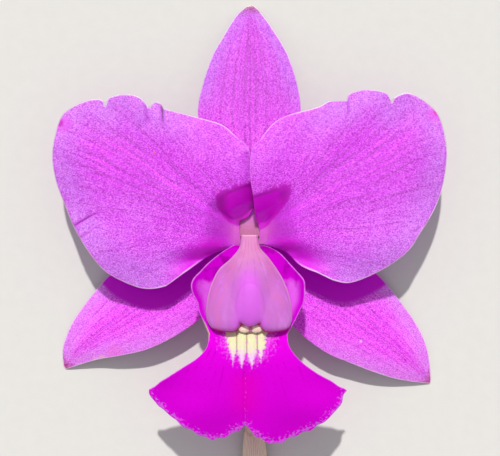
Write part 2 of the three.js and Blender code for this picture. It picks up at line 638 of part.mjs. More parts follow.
function bractGeometry() {
  const middle = (s, t) => {
    const y = mix(BRACT_FOOT, BRACT_TIP, s);
    const { keep, start, end } = BRACT_POINT;
    const wrap = BRACT_WRAP * (1 - (1 - keep) * s ** start) ** end;
    const angle = wrap * (2 * t - 1);
    const slim = smooth(s, ...BRACT_SLIM);
    const inner = mix(stemRadius(Math.min(y, STEM_START)), PEDICEL_RADIUS, slim);
    const radius = inner + JOINT_GAP + BRACT_THICKNESS / 2;
    const z = mix(STEM_MIDDLE, PEDICEL_MIDDLE, slim) + radius * Math.cos(angle) - FACE_HEIGHT;
    return new THREE.Vector3(stalkX(y) + radius * Math.sin(angle), y, z);
  };
  const toSurface = new THREE.Matrix4().makeTranslation(0, 0, FACE_HEIGHT);
  return sheet(middle, () => BRACT_THICKNESS, BRACT_STEPS).applyMatrix4(toSurface);
}

// ---- assembly ----

function finish(color, roughness) {
  return new THREE.MeshStandardMaterial({ color, roughness, metalness: 0 });
}

function piece(name, geometry, material) {
  const mesh = new THREE.Mesh(geometry, material);
  mesh.name = name;
  return mesh;
}

const petalFinish = finish('#d95cea', 0.55);
const sepalFinish = finish('#dd66ea', 0.55);

const cap = capSolid();
const pollinia = polliniaSolid();
const column = solidOf(columnGeometry())
  .add(columnFoot())
  .add(solidOf(ellipsoid(NOSE_CENTRE, NOSE_SIZE, NOSE_SIDES)))
  .subtract(capSolid(JOINT_GAP))
  .subtract(polliniaSolid(JOINT_GAP));

const face = new THREE.Group();
face.position.set(0, FACE_Y, FACE_HEIGHT);
face.add(
  piece('dorsal_sepal', blade(DORSAL_SEPAL, sepalHeight(DORSAL_RISE, DORSAL_TIP), SEPAL_STEPS),
    sepalFinish),
  piece('lateral_sepal_left', blade(LATERAL_SEPAL_LEFT,
    sepalHeight(LATERAL_RISE, LATERAL_LEFT_TIP), SEPAL_STEPS), sepalFinish),
  piece('lateral_sepal_right', blade(LATERAL_SEPAL_RIGHT,
    sepalHeight(LATERAL_RISE, LATERAL_RIGHT_TIP), SEPAL_STEPS), sepalFinish),
  piece('petal_left', blade(PETAL_LEFT,
    petalHeight({ lowerMargin: 1, pocketX: -4.5, midvein: 0.44, waves: 4, phase: 0.6, under: tuck }),
    PETAL_STEPS), petalFinish),
  piece('petal_right', blade(PETAL_RIGHT,
    petalHeight({ lowerMargin: 0, pocketX: 6.5, midvein: 0.56, waves: 4.4, phase: 2.1 }),
    PETAL_STEPS), petalFinish),
  piece('lip', lipGeometry(), finish('#d800cc', 0.5)),
  piece('column', geometryOf(column), finish('#e98ac4', 0.5)),
  piece('anther_cap', geometryOf(cap), finish('#f6e4ee', 0.45)),
  piece('pollinia', geometryOf(pollinia), finish('#f2d96a', 0.5)),
);

const stalk = new THREE.Group();
stalk.position.set(0, FACE_Y, 0);
stalk.add(
  piece('ovary', ovaryGeometry(), finish('#8f5a52', 0.55)),
  piece('flower_stem', stemGeometry(), finish('#6f8a45', 0.6)),
  piece('bract', bractGeometry(), finish('#cdb48a', 0.75)),
);

const bloom = new THREE.Group();
bloom.add(face, stalk);

export default bloom;
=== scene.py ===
"""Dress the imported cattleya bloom: fine floral blades, living skins, a cut stalk and a plain studio.

Outlines and heights are those of the part's source, in millimetres in the flower's own frame: its
origin lies in the plane of the petals at the column's foot, +Y points to the dorsal sepal and +Z
out of the flower's face. On a blade, s runs from the foot to the far margin and t across it.
"""
import logging
import math
from dataclasses import dataclass
from enum import Enum
from functools import cached_property
from typing import Any, Sequence

import bpy
import numpy as np
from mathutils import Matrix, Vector
from mathutils.kdtree import KDTree


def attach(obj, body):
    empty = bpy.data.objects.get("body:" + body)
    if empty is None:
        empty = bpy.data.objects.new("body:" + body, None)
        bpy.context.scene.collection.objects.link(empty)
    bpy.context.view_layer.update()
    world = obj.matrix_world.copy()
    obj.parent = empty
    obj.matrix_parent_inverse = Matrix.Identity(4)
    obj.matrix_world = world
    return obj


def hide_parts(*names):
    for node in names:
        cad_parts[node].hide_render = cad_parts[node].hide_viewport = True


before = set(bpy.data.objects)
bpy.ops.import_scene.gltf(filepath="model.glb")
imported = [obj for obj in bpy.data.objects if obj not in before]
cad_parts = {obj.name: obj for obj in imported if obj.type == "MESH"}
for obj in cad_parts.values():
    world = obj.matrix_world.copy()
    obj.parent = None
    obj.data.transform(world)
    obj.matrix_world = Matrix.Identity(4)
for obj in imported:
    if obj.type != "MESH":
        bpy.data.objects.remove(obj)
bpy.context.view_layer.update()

LOG = logging.getLogger("cattleya")
MM = 0.001

# ---- driving dimensions of the flower, in millimetres ----

FACE_HEIGHT = 16.0  # the petals' plane above the surface that the flower lies on
FACE_Y = 11.0  # the column's foot from the middle of the part's length
HUB_Y = -0.5
HUB_RADIUS = 4.0
FUNNEL_RADIUS = 14.0
POCKET_NARROWS = 1.2  # how much less that is above the hub, where the wall stands
JOINT_GAP = 0.35

SEPAL_FOOT = -9.95
PETAL_FOOT = -8.75
LIP_FOOT = -8.2
COLUMN_FOOT = -8.0
OVARY_TOP = -10.75

POCKET_WALL = (7.5, 13.0)  # the values of y between which the pocket's wall stands, above the hub
POCKET_SLANT = 0.33  # how far the wall climbs to the right

BLADE_THICKNESS = 0.85
EDGE_THICKNESS = 0.45  # finer than the solid's, with a rounded edge
THINNING = 7.0  # how far in from its margin a blade reaches its whole thickness
BRIDGE = 0.06  # a face whose middle is further out than this would span a notch, so it is left out

Point = tuple[float, float]
Span = tuple[float, float]  # where something starts and ends
Triple = tuple[float, float, float]
Step = tuple[float, float, float, float]  # where a step starts and ends, and the shares there
Array = np.ndarray
Marks = dict[str, Array]


# ---- curves and surfaces ----


def smooth(value: Array | float, low: float, high: float) -> Array:
    """Step softly from 0, where the value is at low, to 1, where it is at high."""
    k = np.clip((np.asarray(value, float) - low) / (high - low), 0, 1)
    return k * k * (3 - 2 * k)


def bump(distance: Array | float, width: float) -> Array:
    """Return a round bump of height 1 that falls off over the width."""
    return np.exp(-((np.asarray(distance, float) / width) ** 2))


def mix(first: Any, second: Any, share: Any) -> Any:
    """Return the value that lies the given share of the way from first to second."""
    return first + (second - first) * share


def steps(count: int, length: float, edges: Sequence[float] = (0.02, 0.07, 0.14, 0.24)) -> Array:
    """Divide 0 to 1 evenly, with a few closer steps at both ends for a rounded edge.

    Args:
        count: How many even steps there are.
        length: The real length in mm that 0 to 1 stands for.
        edges: How far in from each end the closer steps lie, in mm.

    Returns:
        The sorted values from 0 to 1.
    """
    even = np.linspace(0, 1, count + 1)
    close = np.array(edges) / length
    inside = even[(even > close[-1] * 1.3) & (even < 1 - close[-1] * 1.3)]
    return np.concatenate([[0.0], close, inside, 1 - close[::-1], [1.0]])


@dataclass(frozen=True)
class Margin:
    """A smooth curve through given points, read by its arc length."""

    points: tuple[Point, ...]

    @cached_property
    def table(self) -> tuple[Array, Array]:
        """How the curve's own parameter grows with its arc length.

        Returns:
            Arc length so far, as a share of the whole, and the parameter there.
        """
        raw = np.linspace(0, 1, 40 * len(self.points) + 1)
        line = self.raw(raw)
        length = np.concatenate([[0], np.cumsum(np.hypot(*np.diff(line, axis=0).T))])
        return length / length[-1], raw

    def raw(self, parameter: Array) -> Array:
        """Read the curve by its own parameter, which counts the points evenly.

        Args:
            parameter: Values from 0 to 1.

        Returns:
            The points, with x and y in the last axis.
        """
        line = np.array(self.points, float)
        last = len(line) - 1
        place = np.asarray(parameter, float) * last
        at = np.minimum(np.floor(place).astype(int), last)
        w = (place - at)[..., None]
        p0, p1 = line[np.maximum(at - 1, 0)], line[at]
        p2, p3 = line[np.minimum(at + 1, last)], line[np.minimum(at + 2, last)]
        v0, v1 = (p2 - p0) / 2, (p3 - p1) / 2
        return ((2 * p1 - 2 * p2 + v0 + v1) * w**3 + (3 * p2 - 3 * p1 - 2 * v0 - v1) * w**2
                + v0 * w + p1)

    def at(self, share: Array) -> Array:
        """Read the curve at shares of its arc length, from 0 to 1."""
        length, raw = self.table
        return self.raw(np.interp(np.clip(share, 0, 1), length, raw))


def margin(*points: Point) -> Margin:
    """Return the margin through the given points."""
    return Margin(points)


@dataclass(frozen=True)
class Outline:
    """A blade's flat outline: the smooth patch between its four margins."""

    foot: Margin
    left: Margin
    right: Margin
    far: Margin
    notch_span: float = 0.045
    notch_fade: float = 6

    def calm(self, t: Array) -> Array:
        """Return the far margin with its notches smoothed away."""
        reach = np.minimum(np.minimum(self.notch_span, t), 1 - t)
        return sum(self.far.at(t + k * reach) for k in (-1, -0.67, -0.33, 0, 0.33, 0.67, 1)) / 7

    def point(self, s: Array, t: Array) -> Array:
        """Read the patch, with s from foot to far margin and t from left to right, from 0 to 1."""
        notch = (s**self.notch_fade)[..., None]
        return self.smoothed(s, t) + (self.far.at(t) - self.calm(t)) * notch

    def smoothed(self, s: Array, t: Array) -> Array:
        """Read the patch with the far margin's notches smoothed away.

        Args:
            s: From 0 at the foot to 1 at the far margin.
            t: From 0 at the left margin to 1 at the right one.

        Returns:
            The points, with x and y in the last axis.
        """
        a, b = s[..., None], t[..., None]
        ends = np.array([0.0, 1.0])
        (f0, f1), (g0, g1) = self.foot.at(ends), self.far.at(ends)
        sides = self.left.at(s) * (1 - b) + self.right.at(s) * b
        along = self.foot.at(t) * (1 - a) + self.calm(t) * a
        corners = (1 - a) * ((1 - b) * f0 + b * f1) + a * ((1 - b) * g0 + b * g1)
        return along + sides - corners

    def spread(self, s: Array, t: Array, reach: float) -> Array:
        """Read the patch without its notches, reaching past its far margin, to be trimmed.

        Args:
            s: From 0 at the foot to 1 past the far margin.
            t: From 0 at the left margin to 1 at the right one.
            reach: How far past the far margin the patch goes, in mm.

        Returns:
            The points, with x and y in the last axis.
        """
        out = self.calm(t) - self.foot.at(t)
        out /= np.linalg.norm(out, axis=-1, keepdims=True)
        return self.smoothed(s, t) + reach * (s**8)[..., None] * out

    def rim(self, count: int = 500) -> list[Array]:
        """Return the left, far and right margins as close points."""
        k = np.linspace(0, 1, count)
        return [self.left.at(k), self.far.at(np.linspace(0, 1, 5 * count)), self.right.at(k)]

    def holds(self, flat: Array) -> Array:
        """Tell which points lie inside the outline.

        Args:
            flat: The points, with x and y in the last axis.

        Returns:
            True for each point inside.
        """
        left, far, right = self.rim(150)
        loop = np.concatenate([left, far, right[::-1], self.foot.at(np.linspace(1, 0, 40))])
        x, y = flat[..., 0], flat[..., 1]
        inside = np.zeros(x.shape, bool)
        for (x0, y0), (x1, y1) in zip(loop, np.roll(loop, -1, axis=0)):
            if y0 != y1:
                crossing = x0 + (y - y0) * (x1 - x0) / (y1 - y0)
                inside ^= ((y0 > y) != (y1 > y)) & (x < crossing)
        return inside


def nearest(flat: Array, rim: Sequence[Array]) -> tuple[Array, Array]:
    """Find the nearest place on a blade's margin.

    Args:
        flat: The points, with x and y in the last axis.
        rim: The margin's lines of close points.

    Returns:
        The nearest places on the margin, and the distances to them in mm.
    """
    line = np.concatenate(rim)
    tree = KDTree(len(line))
    for number, (x, y) in enumerate(line):
        tree.insert((x, y, 0), number)
    tree.balance()
    found = [tree.find((x, y, 0)) for x, y in flat.reshape(-1, 2)]
    places = np.array([place[:2] for place, _, _ in found]).reshape(flat.shape)
    return places, np.array([far for _, _, far in found]).reshape(flat.shape[:2])


@dataclass(frozen=True)
class Crease:
    """A short fold in a blade, along a straight line, darkened with painted shade."""

    start: Point
    end: Point
    width: float
    depth: float
    stain_and_shade: float = 0.5  # how strongly painted shade darkens the skin in the fold

    def place(self, x: Array, y: Array) -> tuple[Array, Array]:
        """Place points beside the fold.

        Args:
            x: Place across the flower.
            y: Place along the flower.

        Returns:
            How far they lie beside the fold, and how near to its middle part.
        """
        a, b = np.array(self.start), np.array(self.end)
        length = np.hypot(*(b - a))
        ux, uy = (b - a) / length
        along = (x - a[0]) * ux + (y - a[1]) * uy
        aside = (y - a[1]) * ux - (x - a[0]) * uy
        ends = smooth(along, -0.3 * length, 0.25 * length) * (1 - smooth(along, 0.6 * length, length))
        return aside, ends

    def sink(self, x: Array, y: Array) -> Array:
        """Sink the fold.

        Args:
            x: Place across the flower.
            y: Place along the flower.

        Returns:
            How deep the fold is, in mm.
        """
        aside, ends = self.place(x, y)
        fold = bump(aside, self.width) - 0.5 * bump(aside + 1.6 * self.width, self.width)
        return self.depth * fold * ends

    def mark(self, x: Array, y: Array) -> Array:
        """Return how strongly painted shade darkens the skin at x and y."""
        aside, ends = self.place(x, y)
        return self.stain_and_shade * bump(aside, self.width) * ends


# ---- meshes ----


def linked(name: str, data: bpy.types.ID) -> bpy.types.Object:
    """Make an object of a mesh, light or camera.

    Args:
        name: The object's name.
        data: What it is made of.

    Returns:
        The new object, linked to the scene.
    """
    made = bpy.data.objects.new(name, data)
    bpy.context.scene.collection.objects.link(made)
    return made


def object_from(name: str, points: Array, faces: list[list[int]], uv: Array,
                marks: Marks, base: Point) -> bpy.types.Object:
    """Make a smooth-shaded object, in metres in the part's frame.

    Args:
        name: The object's name.
        points: Vertices in mm, in the flower's frame.
        faces: Each face's vertices.
        uv: Each vertex's place across (u) and along (v) the piece.
        marks: Named values of each vertex, such as its distance from the piece's margin.
        base: Where the flower's origin is in the part's frame: its y and z, in mm.

    Returns:
        The new object.
    """
    mesh = bpy.data.meshes.new(name)
    mesh.from_pydata(((points + np.array([0, *base])) * MM).tolist(), [], faces)
    layer = mesh.uv_layers.new(name="blade")
    corners = np.zeros(len(mesh.loops), int)
    mesh.loops.foreach_get("vertex_index", corners)
    layer.data.foreach_set("uv", uv[corners].astype(np.float32).ravel())
    for mark, values in marks.items():
        attribute = mesh.attributes.new(mark, "FLOAT", "POINT")
        attribute.data.foreach_set("value", values.astype(np.float32))
    mesh.shade_smooth()
    return linked(name, mesh)


@dataclass(frozen=True)
class Sheet:
    """A blade's grid of points: rows along it (s) and columns across it (t), both from 0 to 1."""

    s: Array
    t: Array

    @cached_property
    def places(self) -> list[Array]:
        """The values of s and of t at each point."""
        return np.meshgrid(self.s, self.t, indexing="ij")

    @cached_property
    def inner(self) -> Array:
        """True for each point that isn't on the border."""
        s, t = self.places
        return (s > self.s[0]) & (s < self.s[-1]) & (t > self.t[0]) & (t < self.t[-1])

    @cached_property
    def squares(self) -> Array:
        """Join the points.

        Returns:
            The faces between them.
        """
        number = np.arange(self.inner.size).reshape(self.inner.shape)
        corners = (number[:-1, :-1], number[:-1, 1:], number[1:, 1:], number[1:, :-1])
        return np.stack(corners, axis=2).reshape(-1, 4)

    def closed(self, front: Array, back: Array, marks: Marks, inner: Array,
               over: Array, clockwise: bool) -> tuple[Array, Array, Array, Marks]:
        """Join a front and a back that lie apart at their inner points alone.

        Args:
            front: The front's points.
            back: The back's points.
            marks: Named values of each point.
            inner: True for each inner point.
            over: The front's faces.
            clockwise: True if these look inwards as they are.

        Returns:
            The body's points, faces, places on the blade, and marks.
        """
        keep = inner.ravel()
        below = np.arange(keep.size)
        below[keep] = keep.size + np.arange(keep.sum())
        under = below[over]
        if clockwise:
            over = over[:, ::-1]
        else:
            under = under[:, ::-1]
        uv = np.stack(self.places[::-1], axis=2).reshape(-1, 2)
        both = {mark: np.concatenate([grid.ravel(), grid[inner]]) for mark, grid in marks.items()}
        return (np.concatenate([front, back[keep]]), np.concatenate([over, under]),
                np.concatenate([uv, uv[keep]]), both)


def blade_object(name: str, middle: Array, sheet: Sheet, marks: Marks,
                 thick: float = BLADE_THICKNESS, fine: float = EDGE_THICKNESS,
                 base: Point = (FACE_Y, FACE_HEIGHT), trimmed: Array | None = None,
                 outline: Outline | None = None) -> bpy.types.Object:
    """Thicken a middle surface to both sides, with a rounded edge.

    Args:
        name: The object's name.
        middle: The middle surface's points.
        sheet: The grid that they form.
        marks: Named values of each point; "edge_mm" is its distance from the margin.
        thick: Thickness well inside the margin.
        fine: Thickness beside the margin.
        base: Where the flower's origin is in the part's frame.
        trimmed: True for each point past the margin, which is moved on to it, if there are any.
        outline: The outline that the points were trimmed to.

    Returns:
        The new object.
    """
    normal = np.cross(np.gradient(middle, sheet.s, axis=0), np.gradient(middle, sheet.t, axis=1))
    normal /= np.linalg.norm(normal, axis=2, keepdims=True) + 1e-12
    clockwise = normal[len(sheet.s) // 2, len(sheet.t) // 2, 2] > 0
    normal *= np.where(normal[..., 2:] < 0, -1, 1)
    edge = marks["edge_mm"]
    whole = mix(fine, thick, smooth(edge, 0, THINNING)) / 2
    closing = np.clip(1 - edge / (fine / 2), 0, 1)
    half = (whole * np.sqrt(1 - closing**2) * sheet.inner)[..., None]
    front = (middle + normal * half).reshape(-1, 3)
    back = (middle - normal * half).reshape(-1, 3)
    for side in (front, back):
        side[:, 2] = np.maximum(side[:, 2], -base[1])
    inner = sheet.inner if trimmed is None else sheet.inner & ~trimmed
    over = sheet.squares[inner.ravel()[sheet.squares].any(axis=1)]
    if trimmed is not None:
        moved = trimmed.ravel()[over].any(axis=1)
        centres = middle.reshape(-1, 3)[over[moved], :2].mean(axis=1)
        far = nearest(centres[None], outline.rim())[1][0]
        moved[moved] = ~outline.holds(centres) & (far > BRIDGE)
        over = over[~moved]
    points, faces, uv, both = sheet.closed(front, back, marks, inner, over, clockwise)
    used, faces = np.unique(faces, return_inverse=True)
    return object_from(name, points[used], faces.reshape(-1, 4).tolist(), uv[used],
                       {mark: values[used] for mark, values in both.items()}, base)


def ring_faces(rings: int, sides: int, start: int = 0) -> Array:
    """Join closed rings of vertices.

    Args:
        rings: How many rings there are.
        sides: How many vertices each has.
        start: The first ring's first vertex.

    Returns:
        The faces between the rings.
    """
    number = start + np.arange(rings * sides).reshape(rings, sides)
    after = np.roll(number, -1, axis=1)
    return np.stack([number[:-1], after[:-1], after[1:], number[1:]], axis=2).reshape(-1, 4)


def stack_faces(rings: int, sides: int, start: int = 0) -> list[list[int]]:
    """Join closed rings of vertices, as ring_faces does, and close both ends.

    Args:
        rings: How many rings there are.
        sides: How many vertices each has.
        start: The first ring's first vertex.

    Returns:
        The faces between the rings and at the ends.
    """
    ends = start + np.arange(sides)
    return [*ring_faces(rings, sides, start).tolist(), ends[::-1].tolist(),
            (ends + (rings - 1) * sides).tolist()]


def lofted_object(name: str, rings: Array, base: Point) -> bpy.types.Object:
    """Join closed rings into a solid with flat ends.

    Args:
        name: The object's name.
        rings: Points of each ring, in mm.
        base: Where the flower's origin is in the part's frame.

    Returns:
        The new object.
    """
    count, sides, _ = rings.shape
    around = np.linspace(0, 1, sides, endpoint=False)
    uv = np.stack(np.broadcast_arrays(around[None, :], np.linspace(0, 1, count)[:, None]), axis=2)
    points = rings.reshape(-1, 3)
    ends = np.minimum(*(np.linalg.norm(points - points[end], axis=1) for end in (0, -1)))
    return object_from(name, points, stack_faces(count, sides), uv.reshape(-1, 2),
                       {"edge_mm": ends}, base)


def fused_object(name: str, blobs: Sequence[tuple[Sequence[float], Sequence[float]]],
                 voxel: float) -> bpy.types.Object:
    """Melt ellipsoids together into one smooth body.

    Args:
        name: The object's name.
        blobs: Each ellipsoid's middle and its three half sizes, in mm.
        voxel: The size of the finest form that is kept, in mm.

    Returns:
        The new object.
    """
    sides, rings, softening = 48, 33, 6
    turn = np.linspace(0, 2 * np.pi, sides, endpoint=False)
    climb = np.linspace(0, np.pi, rings)[:, None]
    ball = np.stack(np.broadcast_arrays(np.sin(climb) * np.cos(turn), np.sin(climb) * np.sin(turn),
                                        np.cos(climb)), axis=2).reshape(-1, 3)
    rough = np.concatenate([ball * np.array(size) + np.array(centre) for centre, size in blobs])
    outwards = [0, 3, 2, 1]
    faces = np.concatenate([ring_faces(rings, sides, number * len(ball))[:, outwards]
                            for number in range(len(blobs))]).tolist()
    blank = np.zeros((len(rough), 2))
    made = object_from(name, rough, faces, blank, {"edge_mm": blank[:, 0]}, (FACE_Y, FACE_HEIGHT))
    remesh = made.modifiers.new("melt", "REMESH")
    remesh.mode = "VOXEL"
    remesh.voxel_size = voxel * MM
    soften = made.modifiers.new("soften", "SMOOTH")
    soften.iterations = softening
    depsgraph = bpy.context.evaluated_depsgraph_get()
    melted = bpy.data.meshes.new_from_object(made.evaluated_get(depsgraph))
    made.modifiers.clear()
    made.data = melted
    melted.shade_smooth()
    return made


def dress(piece: bpy.types.Object, node: str, skin: bpy.types.Material) -> None:
    """Give a piece its finish, and let it stand for its CAD node.

    Args:
        piece: The finished object.
        node: The CAD node that it replaces.
        skin: The piece's material.
    """
    piece.data.materials.clear()
    piece.data.materials.append(skin)
    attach(piece, "root")
    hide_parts(node)
    LOG.info("%s: %d faces, %s", piece.name, len(piece.data.polygons), skin.name)


# ---- finishes ----

Socket = bpy.types.NodeSocket
Tint = Socket | str
Coat = tuple[Any, ...]  # a tint with its share, or with what Ground.share() makes the share from
FACTOR, FIRST, SECOND, MIXED = 0, 6, 7, 2  # the colour mixer's sockets


def linear(colour: str) -> tuple[float, float, float, float]:
    """Turn an sRGB hex value into linear red, green, blue and alpha."""
    parts = [int(colour[k:k + 2], 16) / 255 for k in (1, 3, 5)]
    return (*[c / 12.92 if c <= 0.04045 else ((c + 0.055) / 1.055) ** 2.4 for c in parts], 1.0)


@dataclass(frozen=True)
class Ground:
    """A new node material, with the places on its piece that patterns are drawn from."""

    name: str

    @cached_property
    def material(self) -> bpy.types.Material:
        """Start the material.

        Returns:
            The material, with a plain shader.
        """
        material = bpy.data.materials.new(self.name)
        material.use_nodes = True
        return material

    def feed(self, node: bpy.types.Node, inputs: dict[int | str, Any]) -> None:
        """Give a node its inputs.

        Args:
            node: The node.
            inputs: Sockets, values or hex colours, by the input's name or number.
        """
        for key, value in inputs.items():
            if isinstance(value, Socket):
                self.material.node_tree.links.new(value, node.inputs[key])
            else:
                node.inputs[key].default_value = linear(value) if isinstance(value, str) else value

    def add(self, kind: str, inputs: Sequence[Any] | dict[int | str, Any] = (), out: int | str = 0,
            **settings: Any) -> Socket:
        """Add a node with its settings, values and links.

        Args:
            kind: The node's type without Blender's prefix, then a dot and its operation, if any.
            inputs: Sockets, values or hex colours, in the inputs' order or by name.
            out: The output that is returned, by name or number.
            settings: The node's other properties.

        Returns:
            The chosen output.
        """
        kind, _, operation = kind.partition(".")
        node = self.material.node_tree.nodes.new("ShaderNode" + kind)
        if operation:
            node.operation = operation
        for name, value in settings.items():
            setattr(node, name, value)
        self.feed(node, inputs if isinstance(inputs, dict) else dict(enumerate(inputs)))
        return node.outputs[out]

    def dressed(self, constants: dict[str, Any], painted: dict[str, Socket]) -> bpy.types.Material:
        """Give the shader its inputs and return the material.

        Args:
            constants: The inputs that are one value all over.
            painted: The inputs that patterns feed.

        Returns:
            The finished material.
        """
        for inputs in (constants, painted):
            self.feed(self.material.node_tree.nodes["Principled BSDF"], inputs)
        return self.material

    @cached_property
    def place(self) -> Socket:
        """Place in the part's frame, in metres."""
        return self.add("TexCoord", out="Object")

    @cached_property
    def flower(self) -> Socket:
        """Place in the flower's own frame, in mm."""
        return self.add("Mapping", {"Vector": self.place, "Location": (0, -FACE_Y, 0),
                                    "Scale": (1 / MM, 1 / MM, 1 / MM)})

    @cached_property
    def x(self) -> Socket:
        """Place across the flower, in mm."""
        return self.add("SeparateXYZ", [self.flower], "X")

    @cached_property
    def y(self) -> Socket:
        """Place along the flower, in mm."""
        return self.add("SeparateXYZ", [self.flower], "Y")

    @cached_property
    def across(self) -> Socket:
        """Place across the piece, from 0 to 1."""
        return self.add("SeparateXYZ", [self.add("UVMap", uv_map="blade")], "X")

    @cached_property
    def along(self) -> Socket:
        """Place along the piece, from 0 to 1."""
        return self.add("SeparateXYZ", [self.add("UVMap", uv_map="blade")], "Y")

    @cached_property
    def edge(self) -> Socket:
        """Distance from the piece's margin, in mm."""
        return self.add("Attribute", out="Fac", attribute_name="edge_mm")

    def beside(self, value: Socket, middle: float) -> Socket:
        """Return how far a place lies to either side of a middle."""
        return self.add("Math.ABSOLUTE", [self.add("Math.SUBTRACT", [value, middle])])

    def comb(self, value: Socket, count: float) -> Socket:
        """Repeat a place between evenly spaced lines: 0 on each line and 1 halfway."""
        return self.add("Math.PINGPONG", [self.add("Math.MULTIPLY", [value, count]), 1.0])

    def share(self, value: Socket, low: float, high: float, start: float, end: float,
              *masks: Socket) -> Socket:
        """Step softly from one share to another, within masks.

        Args:
            value: What the share depends on.
            low: Where the step starts.
            high: Where the step ends.
            start: The share below the step.
            end: The share above it.
            masks: Other shares that it is multiplied by.

        Returns:
            The share.
        """
        shown = self.add("MapRange", [value, low, high, start, end], interpolation_type="SMOOTHSTEP")
        for mask in masks:
            shown = self.add("Math.MULTIPLY", [shown, mask])
        return shown

    def coated(self, colour: Tint, *coats: Coat) -> Tint:
        """Lay coats of colour over one another.

        Args:
            colour: The colour under them.
            coats: The coats, from the lowest to the highest.

        Returns:
            The colour on top.
        """
        for tint, *how in coats:
            share = how[0] if len(how) == 1 else self.share(*how)
            colour = self.add("Mix", {FACTOR: share, FIRST: colour, SECOND: tint}, MIXED,
                              data_type="RGBA")
        return colour


@dataclass(frozen=True)
class Grain:
    """How coarse a noise is, in mm, how many finer layers it has, and how rough they are."""

    size: float
    detail: float = 2.0
    roughness: float = 0.5

    def on(self, place: Socket) -> dict[str, Any]:
        """Return the inputs of a noise that is drawn from a place."""
        return {"Vector": place, "Scale": 1 / (self.size * MM), "Detail": self.detail,
                "Roughness": self.roughness}


@dataclass(frozen=True)
class Skin:
    """What every living finish shares: how its wax shines and how light sinks into its flesh.

    Where a step has four numbers, the first two are where it starts and ends, and the others are
    the shares below and above it. Sizes of patterns are in mm.
    """

    name: str
    roughness: float = 0.55
    ior: float = 1.45
    shine: float = 0.5
    flesh: float = 0.5
    depth: Triple = (1.0, 0.2, 1.0)  # mm that red, green and blue light travel
    relief: float = 0.05  # mm

    @cached_property
    def ground(self) -> Ground:
        """The new material that the finish is painted on."""
        return Ground(self.name)

    def material(self) -> bpy.types.Material:
        """Build the finish's node material.

        Returns:
            The finished material.
        """
        constants = {"Roughness": self.roughness, "IOR": self.ior, "Specular IOR Level": self.shine,
                     "Subsurface Weight": self.flesh, "Subsurface Radius": self.depth,
                     "Subsurface Scale": MM}
        painted = self.paint()
        raised = {"Height": painted.pop("Height"), "Distance": self.relief * MM}
        painted["Normal"] = self.ground.add("Bump", raised, "Normal")
        return self.ground.dressed(constants, painted)

    def paint(self) -> dict[str, Socket]:
        """Add the finish's patterns, and return what feeds the shader, with the skin's height."""
        raise NotImplementedError


@dataclass(frozen=True)
class Blemish:
    """A small spot on a blade, which fades out from its middle."""

    x: float
    y: float
    radius: float
    colour: str
    share: float = 0.9
    middle: float = 0.4  # share of the radius within which it keeps its full colour


@dataclass(frozen=True)
class Pocket:
    """Where one petal's side of the pocket above the hub lies, in mm."""

    x: float  # where its wall stands at its mean place
    low: float
    reach: float
    hem_shade: float  # how strongly the other petal's shadow is painted on its margin
